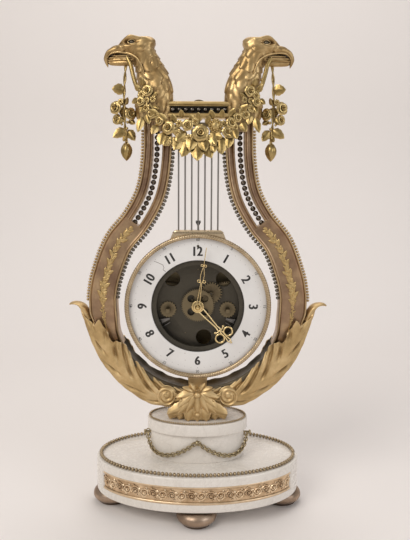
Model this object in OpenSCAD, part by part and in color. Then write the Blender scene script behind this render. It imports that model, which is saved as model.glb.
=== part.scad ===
/* [Base] */
// Width of the oval marble base
base_w = 210; // [196:1:226]
// Depth of the oval marble base
base_d = 126; // [118:1:136]
// Height of the marble base
base_h = 35.5; // [33:0.5:40]
// Height of a bun foot
foot_h = 17; // [14:0.5:20]
// Diameter of a bun foot
foot_dia = 40; // [34:1:42]
// Height of the inlaid frieze on the front of the base
frieze_h = 18.5; // [14:0.5:20]
// Radius of the beads round the top of the base
base_bead_r = 1.9; // [1.5:0.1:2.2]

/* [Plinth] */
// Width of the plinth's cap
cap_w = 103.6; // [98:0.2:108]
// Depth of the plinth's cap
cap_d = 63; // [60:0.5:70]
// Height of the plinth's cap
cap_h = 12; // [10:0.5:16]
// How far the neck stands in from the cap all round
neck_inset = 3.4; // [2:0.1:5]
// Height of the plinth's neck
neck_h = 29; // [26:0.5:34]

/* [Lyre] */
// Gap between the leaf bowl and the plinth
bowl_gap = 8; // [7.5:0.5:12]
// Width of an arm between its edges
arm_w = 27.2; // [25:0.1:28]
// Thickness of an arm
arm_t = 18; // [14:0.5:20]
// Width of the open slot in an arm
slot_w = 9; // [8:0.1:10]
// Radius of the beads along an arm's edges
edge_bead_r = 1.4; // [1.1:0.1:1.6]
// Inner radius of the leaf bowl at its rim
bowl_in_r = 85; // [83:0.5:88]
// Outer radius of the leaf bowl
bowl_out_r = 110.5; // [108:0.5:111]
// Half depth of the leaf bowl
bowl_half_d = 15; // [13:0.5:17]
// Height of the crossbar between the arms
crossbar_h = 16; // [14:0.5:17]
// Depth of the crossbar
crossbar_d = 18; // [16:0.5:19]

/* [Dial] */
// Outer radius of the enamel dial
dial_r = 70.5; // [69:0.1:71]
// Radius of the dial's open centre
dial_hole_r = 46.3; // [44:0.1:48]
// Length of the minute hand from its centre
minute_hand_l = 60; // [54:0.5:61]
// Length of the hour hand from its centre
hour_hand_l = 50; // [44:0.5:52]

/* [Pendulum] */
// Centre radius of the swinging ring
ring_r = 70.6; // [70:0.1:72]
// Radius of the ring's own section
ring_wire_r = 2.4; // [1.8:0.1:2.6]
// Radius of a pendulum rod
rod_r = 0.8; // [0.6:0.05:0.9]
// Distance from one rod to the next
rod_pitch = 6.45; // [6:0.05:6.8]
// Number of rods
rod_count = 7; // [5:2:7]

/* [Movement] */
// Radius of the two plates
plate_r = 56; // [55:0.5:58]
// Thickness of a plate
plate_t = 3; // [2.5:0.1:3.4]
// Distance between the plates
plate_gap = 30; // [30:0.5:33]
// Sideways distance from the centre to a winding arbor
barrel_x = 30; // [29.6:0.1:30.4]
// Drop from the centre to the winding arbors
barrel_drop = 5; // [4:0.1:6]
// Radius of the bell
bell_r = 34; // [30:0.5:35]

/* [Hidden] */
$fn = 48;

gilt = "#c8a24a";
old_brass = "#8a6f3c";
marble = "#efece6";
steel = "#8c8f94";
enamel = "#f6f4ee";

// Clearances
seat_gap = 0.1;
run_gap = 0.05;

// Levels up the column, all measured from the surface that the clock stands on
base_top = foot_h + base_h;
cap_bottom = base_top + neck_h;
cap_top = cap_bottom + cap_h;
dial_z = cap_top + bowl_out_r + bowl_gap;

// Helpers for paths
function ellipse(a, b, n = 96, from = 0, to = 360) =
    [for (i = [0:n - (to - from == 360 ? 1 : 0)])
        let (t = from + (to - from) * i / n) [a * cos(t), b * sin(t)]];
function reversed(p) = [for (i = [len(p) - 1:-1:0]) p[i]];
function running_length(p) =
    [for (i = 0, s = 0; i < len(p); s = s + (i + 1 < len(p) ? norm(p[i + 1] - p[i]) : 0), i = i + 1) s];
function point_at(p, c, s) =
    let (i = max([for (k = [0:len(c) - 2]) if (c[k] <= s + 1e-9) k]))
    p[i] + (p[i + 1] - p[i]) * (s - c[i]) / (c[i + 1] - c[i]);
// Points at an even step along a path, the last one left out on a closed path
function evenly(p, step, closed = false) =
    let (c = running_length(p), total = c[len(c) - 1], n = floor(total / step))
    [for (k = [0:closed ? n - 1 : n]) point_at(p, c, min(total, total * k / n))];
// A smooth curve through hand-chosen points
function curve_point(p, i, t) =
    let (a = p[max(0, i - 1)], b = p[i], c = p[i + 1], d = p[min(len(p) - 1, i + 2)])
    0.5 * (2 * b + (c - a) * t + (2 * a - 5 * b + 4 * c - d) * t * t
        + (3 * b - a - 3 * c + d) * t * t * t);
function curve(p, n) =
    concat([for (i = [0:len(p) - 2]) for (k = [0:n - 1]) curve_point(p, i, k / n)], [p[len(p) - 1]]);
// The sideways direction at each point of a flat path whose two ends run straight up
function across(p) = [for (i = [0:len(p) - 1])
    (i == 0 || i == len(p) - 1) ? [1, 0]
        : let (d = p[i - 1] - p[i + 1]) [d[1], -d[0]] / norm(d)];
function beside(p, w) = let (n = across(p)) [for (i = [0:len(p) - 1]) p[i] + n[i] * w];
function band(p, w1, w2) = concat(beside(p, w1), reversed(beside(p, w2)));
function part_of(p, from, to) = [for (i = [from:to]) p[i]];
function ease(x) = let (t = min(1, max(0, x))) t * t * (3 - 2 * t);

// Helpers for solids
module slab(y0, y1) {
    translate([0, y1, 0]) rotate([90, 0, 0]) linear_extrude(height = y1 - y0) children();
}
module rod_y(r, y0, y1) {
    translate([0, y0, 0]) rotate([-90, 0, 0]) cylinder(r = r, h = y1 - y0);
}
// Skins a row of rings, each with the same number of points, and closes both ends
module loft(rings) {
    m = len(rings[0]);
    last = len(rings) - 1;
    points = [for (ring = rings) for (p = ring) p];
    sides = [for (i = [0:last - 1]) for (j = [0:m - 1])
        let (a = i * m + j, b = i * m + (j + 1) % m)
        each [[a, b, b + m], [a, b + m, a + m]]];
    near_end = [for (j = [1:m - 2]) [0, j + 1, j]];
    far_end = [for (j = [1:m - 2]) [last * m, last * m + j, last * m + j + 1]];
    polyhedron(points = points, faces = concat(sides, near_end, far_end), convexity = 6);
}
// A lens-shaped leaf along +X, its face towards -Y
module leaf(l, w, t) {
    hull() {
        sphere(r = 0.35 * t, $fn = 6);
        translate([0.4 * l, -0.25 * t, 0]) scale([0.16 * l, 0.5 * t, 0.5 * w]) sphere(r = 1, $fn = 7);
        translate([l, 0, 0]) sphere(r = 0.2 * t, $fn = 5);
    }
}
// A flower facing -Y
module flower(r, petals = 5) {
    for (i = [0:petals - 1]) rotate([0, 360 * i / petals, 0]) leaf(r, 0.95 * r, 0.42 * r);
    hull() translate([0, -0.16 * r, 0]) sphere(r = 0.32 * r, $fn = 7);
}
// A plain pointed leaf along +X with a ridge towards -Y, as one closed solid
module ridged_leaf(l, w, t) {
    loft([for (q = [[0, 0.16], [0.3, 0.9], [0.62, 0.85], [1, 0.1]])
        [[q[0] * l, 0, -0.5 * w * q[1]], [q[0] * l, -t * q[1], 0], [q[0] * l, 0, 0.5 * w * q[1]],
            [q[0] * l, 0.25 * t * q[1], 0]]]);
}
// A flower facing -Y whose back lies at y = 0, as one closed solid
module solid_flower(r, petals) {
    n = 2 * petals;
    loft([for (q = [[0.3, 0.3, 0], [1, 0.66, -0.22], [0.66, 0.5, -0.44], [0.26, 0.26, -0.32]])
        [for (j = [0:n - 1]) let (d = r * (j % 2 == 0 ? q[0] : q[1]), a = -360 * j / n)
            [d * cos(a), q[2] * r, d * sin(a)]]]);
}
// A round stem through points, tapering to nothing at neither end
module stem(points, r) {
    last = len(points) - 1;
    loft([for (i = [0:last])
        let (d = points[min(last, i + 1)] - points[max(0, i - 1)], up = [-d[2], 0, d[0]] / norm([d[0], d[2]]),
            out = cross(up, d) / norm(d))
        [for (j = [0:5]) points[i] + r * (up * cos(60 * j) + out * sin(60 * j))]]);
}
module bead_row(points, r) {
    for (p = points) translate(p) sphere(r = r);
}
module at_dial() {
    translate([0, 0, dial_z]) children();
}

// Base: oval marble slab, feet, inlaid frieze and bead ring
foot_inset = 15.5;
side_foot_x = base_w / 2 - foot_inset;
end_foot_y = base_d / 2 - foot_inset;
rod_thread_r = 3;
nut_recess_r = 12;
nut_recess_h = 8;
frieze_recess = 2.6;
frieze_t = 2;
frieze_half_angle = 65;
frieze_drop = 8.5;
frieze_top = base_top - frieze_drop;
frieze_rail = 2.6;
frieze_rosettes = 17;
bead_ring_inset = 4.3;

module one_foot() {
    r = foot_dia / 2;
    rotate_extrude() polygon(concat([[0, 0], [0.7 * r, 0], [0.76 * r, 0.06 * foot_h]],
        [for (t = [-50:12.5:60]) [0.55 * r + 0.45 * r * cos(t), 0.55 * foot_h + 0.45 * foot_h * sin(t)]],
        [[0.62 * r, foot_h], [0, foot_h]]));
}
module bun_feet() {
    color("#a9764a") for (p = [[side_foot_x, 0], [-side_foot_x, 0], [0, end_foot_y], [0, -end_foot_y]])
        translate([p[0], p[1], 0]) one_foot();
}
// Flat band that follows the oval's front, between two depths under its wall
function front_band(outer, inner, half) = concat(
    ellipse(base_w / 2 - outer, base_d / 2 - outer, 48, -90 - half, -90 + half),
    reversed(ellipse(base_w / 2 - inner, base_d / 2 - inner, 48, -90 - half, -90 + half)));
module marble_base() {
    color(marble) difference() {
        translate([0, 0, foot_h]) linear_extrude(height = base_h) polygon(ellipse(base_w / 2, base_d / 2));
        translate([0, 0, frieze_top - frieze_h - seat_gap])
            linear_extrude(height = frieze_h + 2 * seat_gap)
                polygon(front_band(-2, frieze_recess, frieze_half_angle + 0.3));
        translate([0, 0, foot_h - 1]) cylinder(r = rod_thread_r + 0.5, h = base_h + 2);
        translate([0, 0, foot_h - 1]) cylinder(r = nut_recess_r, h = nut_recess_h + 1);
    }
}
module base_frieze() {
    face = frieze_recess - seat_gap - frieze_t;
    a = base_w / 2 - face;
    b = base_d / 2 - face;
    rosette_r = (frieze_h - 2 * frieze_rail) / 2 - 1;
    color(gilt) translate([0, 0, frieze_top - frieze_h]) difference() {
        linear_extrude(height = frieze_h)
            polygon(front_band(face, frieze_recess - seat_gap, frieze_half_angle));
        translate([0, 0, frieze_rail]) linear_extrude(height = frieze_h - 2 * frieze_rail)
            polygon(front_band(face - 1, face + 0.8, frieze_half_angle - 1.5));
        for (i = [0:frieze_rosettes - 1]) {
            t = -90 + (frieze_half_angle - 5) * (2 * i / (frieze_rosettes - 1) - 1);
            turn = atan2(sin(t) / b, cos(t) / a);
            translate([a * cos(t), b * sin(t), frieze_h / 2]) rotate([0, 0, turn]) rotate([0, 90, 0])
                cylinder(r = rosette_r * 0.5, h = 2 * frieze_t + 3, center = true);
        }
    }
}
module base_beads() {
    path = ellipse(base_w / 2 - bead_ring_inset, base_d / 2 - bead_ring_inset, 180, 0, 359.999);
    color(gilt) bead_row([for (p = evenly(path, 2 * base_bead_r + 0.12, true))
        [p[0], p[1], base_top + base_bead_r]], base_bead_r);
}

// Plinth: marble neck and cap, cord ring, chain and the rod that ties the column together
neck_w = cap_w - 2 * neck_inset;
neck_d = cap_d - 2 * neck_inset;
cord_r = 1.1;
cord_inset = 2.2;
link_r = 2.2;
link_wire_r = 0.6;
link_step = 2 * link_r - 2 * link_wire_r - 0.1;
chain_stand_off = link_r + link_wire_r + 0.2;
chain_top = cap_bottom - 5;
chain_dip = 17;
chain_half_turn = 88;

module plinth_neck() {
    color(marble) translate([0, 0, base_top]) difference() {
        linear_extrude(height = neck_h) polygon(ellipse(neck_w / 2, neck_d / 2));
        translate([0, 0, -1]) cylinder(r = rod_thread_r + 0.5, h = neck_h + 2);
    }
}
module plinth_cap() {
    color(marble) translate([0, 0, cap_bottom]) difference() {
        linear_extrude(height = cap_h) polygon(ellipse(cap_w / 2, cap_d / 2));
        translate([0, 0, -1]) cylinder(r = rod_thread_r + 0.5, h = cap_h + 2);
    }
}
module plinth_ring() {
    path = ellipse(cap_w / 2 - cord_inset, cap_d / 2 - cord_inset, 160, 0, 359.999);
    color(gilt) bead_row([for (p = evenly(path, 2 * cord_r + 0.12, true))
        [p[0], p[1], cap_top + cord_r]], cord_r);
}
// Two festoons of links on the front of the neck, hung from three pins
function chain_path() = [for (i = [0:80])
    let (t = -90 - chain_half_turn + 2 * chain_half_turn * i / 80, u = (i % 40) / 40,
        hang = i == 80 ? 0 : 4 * u * (1 - u))
    [(neck_w / 2 + chain_stand_off) * cos(t), (neck_d / 2 + chain_stand_off) * sin(t),
        chain_top - chain_dip * hang]];
module chain_pin(t) {
    x = neck_w / 2 * cos(t);
    y = neck_d / 2 * sin(t);
    turn = atan2(y * neck_w * neck_w, x * neck_d * neck_d);
    translate([x, y, chain_top]) rotate([0, 0, turn]) rotate([0, 90, 0]) {
        translate([0, 0, seat_gap]) cylinder(r = 0.9, h = 2 * chain_stand_off);
        translate([0, 0, 2 * chain_stand_off]) sphere(r = 1.6);
    }
}
module chain_swags() {
    path = chain_path();
    spots = evenly(path, link_step);
    last = len(spots) - 1;
    color(old_brass) {
        for (i = [0:last]) {
            along = spots[min(last, i + 1)] - spots[max(0, i - 1)];
            level = norm([along[0], along[1]]);
            translate(spots[i]) rotate([0, 0, atan2(along[1], along[0])])
                rotate([0, -atan2(along[2], level), 0]) rotate([i % 2 == 0 ? 90 : 0, 0, 0])
                    rotate_extrude() translate([link_r, 0]) circle(r = link_wire_r);
        }
        for (t = [-90 - chain_half_turn, -90, -90 + chain_half_turn]) chain_pin(t);
    }
}
tie_end = cap_top + 14;
module tie_rod() {
    recess_top = foot_h + nut_recess_h;
    color(steel) {
        translate([0, 0, foot_h + 1]) cylinder(r = rod_thread_r, h = tie_end - foot_h - 1);
        translate([0, 0, recess_top - 1.5]) difference() {
            cylinder(r = 9, h = 1.5);
            translate([0, 0, -1]) cylinder(r = rod_thread_r + run_gap, h = 4);
        }
        translate([0, 0, recess_top - 6.5]) difference() {
            cylinder(r = 5.6, h = 5, $fn = 6);
            translate([0, 0, -1]) cylinder(r = rod_thread_r + run_gap, h = 7);
        }
    }
}

// Lyre foot: oval slab and the wedge that the two leaf halves butt against
hub_half_angle = 6.3;
hub_front = -1.2 * bowl_half_d;
foot_slab_h = 6.5;
foot_slab_w = 62;
foot_slab_d = 26;
hub_low_r = bowl_out_r + 1.5;
hub_high_r = bowl_in_r + 1;
function polar_down(r, a) = [r * sin(a), -r * cos(a)];
module lyre_foot() {
    color(gilt) difference() {
        union() {
            translate([0, 0, cap_top]) linear_extrude(height = foot_slab_h)
                polygon(ellipse(foot_slab_w / 2, foot_slab_d / 2, 72));
            at_dial() slab(hub_front, bowl_half_d) polygon([
                [-hub_low_r * sin(hub_half_angle), cap_top + 1 - dial_z],
                [hub_low_r * sin(hub_half_angle), cap_top + 1 - dial_z],
                polar_down(hub_low_r, hub_half_angle), polar_down(hub_high_r, hub_half_angle),
                polar_down(hub_high_r, -hub_half_angle), polar_down(hub_low_r, -hub_half_angle)]);
        }
        translate([0, 0, cap_top - 1]) cylinder(r = rod_thread_r + run_gap, h = tie_end - cap_top + 1.3);
    }
}

// Acanthus halves: hollowed leaf shells whose inner rims rise and fall in lobes
leaf_start = hub_half_angle + 0.1;
leaf_lobes = 7;
bowl_band = bowl_out_r - bowl_in_r;
lobe_cut = 0.216 * bowl_band;
leaf_rings = 56;
leaf_belly = 0.18 * bowl_band;
tip_reach = 0.686 * bowl_band;
top_rim_r = bowl_in_r - 3.5;
function leaf_section(a) =
    let (grow = ease((a - 62) / 26), lobe = abs(sin(180 * leaf_lobes * (a - leaf_start) / (90 - leaf_start))),
        rim = bowl_in_r + (top_rim_r - bowl_in_r) * grow + lobe_cut * (1 - grow) * pow(1 - lobe, 2),
        tip = tip_reach * pow(max(0, (a - 74) / 16), 2), lip = 1 + 0.1 * lobe, hy = bowl_half_d,
        out = bowl_out_r + leaf_belly * ease((a - 10) / 14) + 0.8 * lobe * (1 - grow),
        hollow = 0.314 * bowl_band * (1 - ease((a - 76) / 12)) + 0.5,
        near = 0.118 * bowl_band, mid = 0.392 * bowl_band, far = 0.314 * bowl_band)
    [[rim, -0.84 * hy * lip], [rim + near, -1.04 * hy * lip], [rim + mid, -1.1 * hy], [out - far, -0.95 * hy],
        [out - 1.5 + 0.4 * tip, -0.5 * hy], [out + tip, 0], [out - 1.5 + 0.4 * tip, 0.5 * hy],
        [out - far, 0.95 * hy], [rim + mid, 1.1 * hy], [rim + near, 1.04 * hy * lip], [rim, 0.84 * hy * lip],
        [rim + 0.8 * hollow, 0.45 * hy], [rim + hollow, 0], [rim + 0.8 * hollow, -0.45 * hy]];
module acanthus_half() {
    at_dial() loft([for (k = [0:leaf_rings])
        let (a = leaf_start + (90 - leaf_start) * k / leaf_rings)
        [for (p = reversed(leaf_section(a))) [p[0] * sin(a), p[1], -p[0] * cos(a)]]]);
}
module acanthus_right() {
    color(gilt) acanthus_half();
}
module acanthus_left() {
    color(gilt) mirror([1, 0, 0]) acanthus_half();
}
palmette_z = 20.5 - bowl_out_r;
palmette_leaf = 20;
module palmette() {
    color(gilt) at_dial() translate([0, hub_front - seat_gap - 1.6, palmette_z]) {
        for (k = [-3:3]) rotate([0, 90 + 27 * k, 0]) leaf(palmette_leaf - 1.2 * abs(k), 7.5, 3);
        for (s = [-1, 1]) rotate([0, -90 + 36 * s, 0]) leaf(9, 6, 3);
        hull() translate([0, -1, 0]) sphere(r = 2.6, $fn = 10);
    }
}

// Arms: curved bands with an open slot above and raised borders in front
arm_line = curve([[39.5, 181], [40.6, 144], [46.5, 112], [60.7, 85], [79.5, 61], [91.3, 31], [95.4, 11],
    [95.6, seat_gap]], 8);
arm_last = len(arm_line) - 1;
slot_from = 2;
slot_to = 25;
rail_w = 3;
rail_h = 2.4;
arm_front = -arm_t / 2;
bead_off = arm_w / 2 + edge_bead_r + 0.06;
bead_y = arm_front + 0.5;
pearl_r = slot_w / 2 - 1.8;
pearl_side = slot_w / 2 - pearl_r - 0.9;
module arm_half() {
    at_dial() difference() {
        union() {
            slab(arm_front, arm_t / 2) polygon(band(arm_line, -arm_w / 2, arm_w / 2));
            for (s = [-1, 1]) slab(arm_front - rail_h, arm_front)
                polygon(band(arm_line, s * arm_w / 2, s * (arm_w / 2 - rail_w)));
        }
        slab(arm_front - 1, arm_t / 2 + 1)
            polygon(band(part_of(arm_line, slot_from, slot_to), -slot_w / 2, slot_w / 2));
    }
}
module lyre_arm_right() {
    color(gilt) arm_half();
}
module lyre_arm_left() {
    color(gilt) mirror([1, 0, 0]) arm_half();
}
sprig_from = 30;
sprig_to = 52;
module sprig_half() {
    at_dial() translate([0, arm_front - seat_gap - 0.4, 0]) {
        for (i = [sprig_from:2:sprig_to]) {
            p = arm_line[i];
            d = arm_line[i - 1] - arm_line[i + 1];
            up = atan2(d[1], d[0]);
            side = [d[1], -d[0]] / norm(d);
            for (s = [-1, 1]) translate([p[0] - side[0] * s, 0, p[1] - side[1] * s])
                rotate([0, -up - 34 * s, 0]) ridged_leaf(7.6, 3.6, 1.6);
        }
    }
}
module arm_sprigs() {
    color(gilt) {
        sprig_half();
        mirror([1, 0, 0]) sprig_half();
    }
}
bead_lines = [beside(part_of(arm_line, 2, arm_last - 3), bead_off),
    beside(part_of(arm_line, 4, arm_last - 3), -bead_off)];
module arm_beads() {
    color(gilt) for (m = [0, 1]) mirror([m, 0, 0]) at_dial() for (line = bead_lines)
        bead_row([for (p = evenly(line, 2 * edge_bead_r + 0.1)) [p[0], bead_y, p[1]]], edge_bead_r);
}
// Pearls in the arms' slots and along the crossbar's channel
module pearl_strings() {
    slot_line = beside(part_of(arm_line, slot_from, slot_to), pearl_side);
    spots = evenly(slot_line, 2 * pearl_r + 0.1);
    color(gilt) {
        for (m = [0, 1]) mirror([m, 0, 0]) at_dial() for (i = [1:len(spots) - 2])
            translate([spots[i][0], -2, spots[i][1]]) sphere(r = pearl_r);
        at_dial() for (k = [-4:4]) translate([crossbar_pearl_step * k, channel_back - crossbar_pearl_r - 0.05,
            crossbar_low + crossbar_h / 2]) sphere(r = crossbar_pearl_r);
    }
}

// Crossbar between the eagles' necks, with a channel in front and a slot for the suspension
crossbar_low = 184.6;
crossbar_half_l = 31.5;
channel_depth = 4;
channel_h = 6.4;
channel_back = -crossbar_d / 2 + channel_depth;
crossbar_pearl_r = 2.4;
crossbar_pearl_step = 6.3;
hatch_w = 18;
hatch_d = 9;
module crossbar() {
    y = crossbar_d / 2;
    low = crossbar_low;
    high = crossbar_low + crossbar_h;
    mid = (low + high) / 2;
    color(gilt) at_dial() difference() {
        translate([-crossbar_half_l, 0, 0]) rotate([90, 0, 90]) linear_extrude(height = 2 * crossbar_half_l)
            polygon([[-y + 1.5, low], [y, low], [y, high], [-y + 1.5, high], [-y, high - 1.5],
                [-y, mid + channel_h / 2], [channel_back, mid + channel_h / 2],
                [channel_back, mid - channel_h / 2], [-y, mid - channel_h / 2], [-y, low + 1.5]]);
        translate([-hatch_w / 2, channel_back + 2, low - 1]) cube([hatch_w, hatch_d, crossbar_h + 2]);
    }
}
// Knife-edge suspension: two grooved cheeks stand in the crossbar's slot under a round cap
pivot_z = 193;
knife_r = 0.5;
cheek_t = 2.2;
hatch_y0 = channel_back + 2;
hatch_mid = hatch_y0 + hatch_d / 2;
cap_arc_r = 9;
module suspension_block() {
    high = crossbar_low + crossbar_h;
    color(old_brass) at_dial() {
        difference() {
            slab(hatch_y0 + seat_gap, hatch_y0 + hatch_d - seat_gap) difference() {
                polygon([[-hatch_w / 2 + seat_gap, crossbar_low], [hatch_w / 2 - seat_gap, crossbar_low],
                    [hatch_w / 2 - seat_gap, high], [-hatch_w / 2 + seat_gap, high]]);
                polygon([[0, pivot_z - 2 * knife_r], [4, pivot_z + 5], [-4, pivot_z + 5]]);
            }
            translate([-hatch_w / 2 + 4, hatch_y0 + cheek_t, crossbar_low - 1])
                cube([hatch_w - 8, hatch_d - 2 * cheek_t, pivot_z + 5 - crossbar_low + 1]);
        }
        slab(hatch_y0 + seat_gap, hatch_y0 + hatch_d - seat_gap) intersection() {
            translate([0, high - cap_arc_r + 2]) circle(r = cap_arc_r);
            translate([-hatch_w / 2, high + 0.02]) square([hatch_w, 3]);
        }
    }
}

// Eagle heads: each ring is given by its throat side, its nape side and its half depth
eagle_line = [
    [[59, 181.1], [27, 181.1], 12], [[62, 196], [26, 198], 13], [[58.5, 208.5], [26, 212], 13],
    [[59.5, 219.5], [29.6, 225], 12], [[60.5, 227.5], [34.3, 234], 11.5], [[62.3, 234], [38.6, 241], 11.5],
    [[65.5, 239], [42.2, 249], 12], [[68.3, 242.6], [42.3, 256], 12.4], [[70.5, 244.4], [48, 261.6], 12.4],
    [[73.5, 245.1], [57, 261.1], 12.2], [[76.5, 245.4], [66, 262], 11.4], [[79.5, 245.4], [72.5, 258.8], 9.4],
    [[82, 245.2], [77, 254.7], 7.2], [[84.6, 244.8], [83.6, 252], 5.8], [[87, 243.2], [89.6, 248.2], 4.6],
    [[88, 239.5], [92.4, 241.8], 3.2], [[88, 236], [91.4, 237.2], 2], [[88.2, 233], [88.9, 233.1], 0.7]];
mandible_line = [[[60.5, 236.8], [64.5, 243.5], 5.4], [[68, 234.5], [69, 243], 5.2], [[75, 234.4], [75.6, 242.8], 4.6],
    [[81, 234.5], [81.6, 242.4], 3.6], [[86, 235.2], [86.4, 241], 2]];
eagle_sides = 12;
function head_ring(throat, nape, depth) =
    let (mid = (throat + nape) / 2, half = (nape - throat) / 2)
    [for (j = [0:eagle_sides - 1])
        let (t = 360 * j / eagle_sides, p = mid + half * cos(t))
        [p[0], depth * sin(t), p[1]]];
module eagle_half() {
    at_dial() difference() {
        union() {
            loft([for (r = eagle_line) head_ring(r[0], r[1], r[2])]);
            loft([for (r = mandible_line) head_ring(r[0], r[1], r[2])]);
        }
        translate([0, -crossbar_d / 2 - seat_gap, crossbar_low - seat_gap])
            cube([crossbar_half_l + seat_gap, crossbar_d + 2 * seat_gap, crossbar_h + 2 * seat_gap]);
    }
}
module eagle_right() {
    color(gilt) eagle_half();
}
module eagle_left() {
    color(gilt) mirror([1, 0, 0]) eagle_half();
}

// Garlands: a swag across the front and a drop from each beak
swag_y = -15.8;
stem_r = 1.3;
chest_y = -11.9;
swag_end = [47, 197];
swag_low = 162;
function swag_point(u) = [swag_end[0] * u, swag_low + (swag_end[1] - swag_low) * pow(abs(u), 1.7)];
module flower_swag() {
    leaf_y = swag_y + 0.1;
    flower_y = swag_y - stem_r - 0.05;
    bow = 1.4;
    color(gilt) at_dial() {
        stem([for (k = [-14:14]) let (u = k / 14, p = swag_point(u))
            [p[0], swag_y + bow * pow(u, 4), p[1]]], stem_r);
        translate([0, flower_y, swag_low]) solid_flower(9, 6);
        for (s = [-1, 1]) {
            for (f = [[0.33, 5.7], [0.57, 5.2], [0.77, 4.6], [0.96, 4.2]]) {
                p = swag_point(s * f[0]);
                translate([p[0], flower_y + bow * pow(f[0], 4), p[1] + 0.6]) solid_flower(f[1], 5);
            }
            for (f = [[0.1, 13], [0.27, 12], [0.45, 10], [0.63, 9], [0.8, 8]]) {
                p = swag_point(s * f[0]);
                translate([p[0], leaf_y, p[1] - stem_r - 0.4]) rotate([0, 90 - 8 * s, 0]) ridged_leaf(f[1], 5.6, 1.2);
            }
            for (f = [[0.2, 8], [0.4, 8], [0.6, 7]]) {
                p = swag_point(s * f[0]);
                translate([p[0], leaf_y, p[1] + stem_r + 0.7]) rotate([0, -90 - 6 * s, 0]) ridged_leaf(f[1], 5, 1.2);
            }
            translate([51.5 * s, chest_y, 208.5]) solid_flower(5, 5);
        }
    }
}
drop_x = 71.5;
drop_top = 234.3;
drop_bottom = 143.5;
bud_l = 18;
bud_r = 5.8;
module drop_half() {
    stem_end = drop_bottom + bud_l + 0.1;
    at_dial() {
        stem([for (k = [0:8]) let (u = k / 8)
            [drop_x + 2.5 * sin(180 * u), 0, drop_top + (stem_end - drop_top) * u]], 1.1);
        stem([for (k = [0:6]) let (u = k / 6) [drop_x - 1.9 - 14 * u, -0.9 - 10.3 * u, drop_top - 2.2 - 22 * u]], 0.9);
        translate([drop_x, 0, drop_bottom + bud_l]) loft([for (q = [[0, 0.3], [0.2, 0.9], [0.4, 1], [0.75, 0.55], [1, 0.08]])
            [for (j = [0:7]) [bud_r * q[1] * cos(45 * j), bud_r * q[1] * sin(45 * j), -bud_l * q[0]]]]);
        for (s = [-1, 1]) {
            translate([drop_x + 2.4 + 2.5 * s, -1.2, 194 - 5.6 * s]) solid_flower(5.2, 5);
            translate([drop_x + 1.6 + 1.6 * s, 0.1, 180]) rotate([0, 90 - 34 * s, 0]) ridged_leaf(13, 6.4, 1.8);
            translate([drop_x + 2.4 + 1.6 * s, 0.1, 209]) rotate([0, -90 + 40 * s, 0]) ridged_leaf(10, 5.4, 1.8);
        }
    }
}
module beak_drops() {
    color(gilt) {
        drop_half();
        mirror([1, 0, 0]) drop_half();
    }
}

// Dial and what holds it
dial_edge_y = -15;
dial_crown = 1.8;
dial_t = 2;
dial_inner_y = dial_edge_y - dial_crown;
mount_back = -11.7;
mount_in_r = dial_hole_r - 5;
mount_out_r = 60;
dial_post_r = 2;
dial_post_at = 50;
plate_front = -4;
module dial() {
    color(enamel) at_dial() rotate([-90, 0, 0]) rotate_extrude()
        polygon([[dial_hole_r, dial_inner_y], [dial_r, dial_edge_y], [dial_r, dial_edge_y + dial_t],
            [dial_hole_r, dial_inner_y + dial_t]]);
}
module dial_mount() {
    back = dial_edge_y + dial_t + 0.05;
    color(old_brass) at_dial() {
        rotate([-90, 0, 0]) rotate_extrude() polygon([[mount_in_r, dial_inner_y + 1.6],
            [dial_hole_r - 0.15, dial_inner_y + 0.3], [dial_hole_r - 0.15, back], [mount_out_r, back],
            [mount_out_r, mount_back], [mount_in_r, mount_back]]);
        for (a = [45:90:315]) translate([dial_post_at * cos(a), 0, dial_post_at * sin(a)])
            rod_y(dial_post_r, mount_back - 0.3, plate_front);
    }
}

// Wheel teeth: radial flanks below the pitch circle and rolled curves above it
wheel_slack = 0.12;
leaf_slack = 0.34;
tooth_steps = 2;
function rolled(r0, roll, r) =
    let (c = ((r0 + roll) * (r0 + roll) + roll * roll - r * r) / (2 * (r0 + roll) * roll),
        t = roll / r0 * acos(c), u = (r0 + roll) / roll * t)
    atan2((r0 + roll) * sin(t) - roll * sin(u), (r0 + roll) * cos(t) - roll * cos(u));
function around(r, a) = [r * cos(a), r * sin(a)];
// Outline of a toothed wheel with one tooth centred on the angle called phase
function toothed(n, r0, roll, high, deep, slack, phase) =
    let (half = 90 / n * (1 - slack))
    [for (i = [0:n - 1]) let (a = phase + 360 * i / n) each concat(
        [around(r0 - deep, a - half), around(r0, a - half)],
        [for (k = [1:tooth_steps]) let (r = r0 + high * k / tooth_steps)
            around(r, a - half + rolled(r0, roll, r))],
        [for (k = [tooth_steps:-1:1]) let (r = r0 + high * k / tooth_steps)
            around(r, a + half - rolled(r0, roll, r))],
        [around(r0, a + half), around(r0 - deep, a + half)])];
function wheel_outline(n, m, mate, phase) =
    toothed(n, n * m / 2, mate * m / 4, m, 0.95 * m, wheel_slack, phase);
function pinion_outline(n, m, phase) =
    toothed(n, n * m / 2, n * m / 4, 0.6 * m, 1.25 * m, leaf_slack, phase);
// Phase that puts a gap of the second wheel round a tooth of the first
function meshed(phase, n, n2, direction) =
    direction + 180 - 360 / n2 * (0.5 - (direction - phase) * n / 360);
function direction(a, b) = atan2(b[1] - a[1], b[0] - a[0]);
function length_of(a, b) = norm(b - a);
// Round windows that lighten a wheel
module windows(count, at, r) {
    for (i = [0:count - 1]) translate(around(at, 360 * i / count + 45)) circle(r = r);
}
module at_arbor(p) {
    at_dial() translate([p[0], 0, p[1]]) children();
}

// Tooth counts
great_n = 72;
centre_pinion_n = 10;
centre_n = 60;
third_pinion_n = 6;
third_n = 60;
escape_pinion_n = 6;
escape_n = 40;
pin_pinion_n = 9;
pin_n = 48;
warning_pinion_n = 6;
warning_n = 48;
fly_pinion_n = 6;
cannon_n = 18;
minute_n = 24;
minute_pinion_n = 6;
hour_n = 54;

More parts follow.
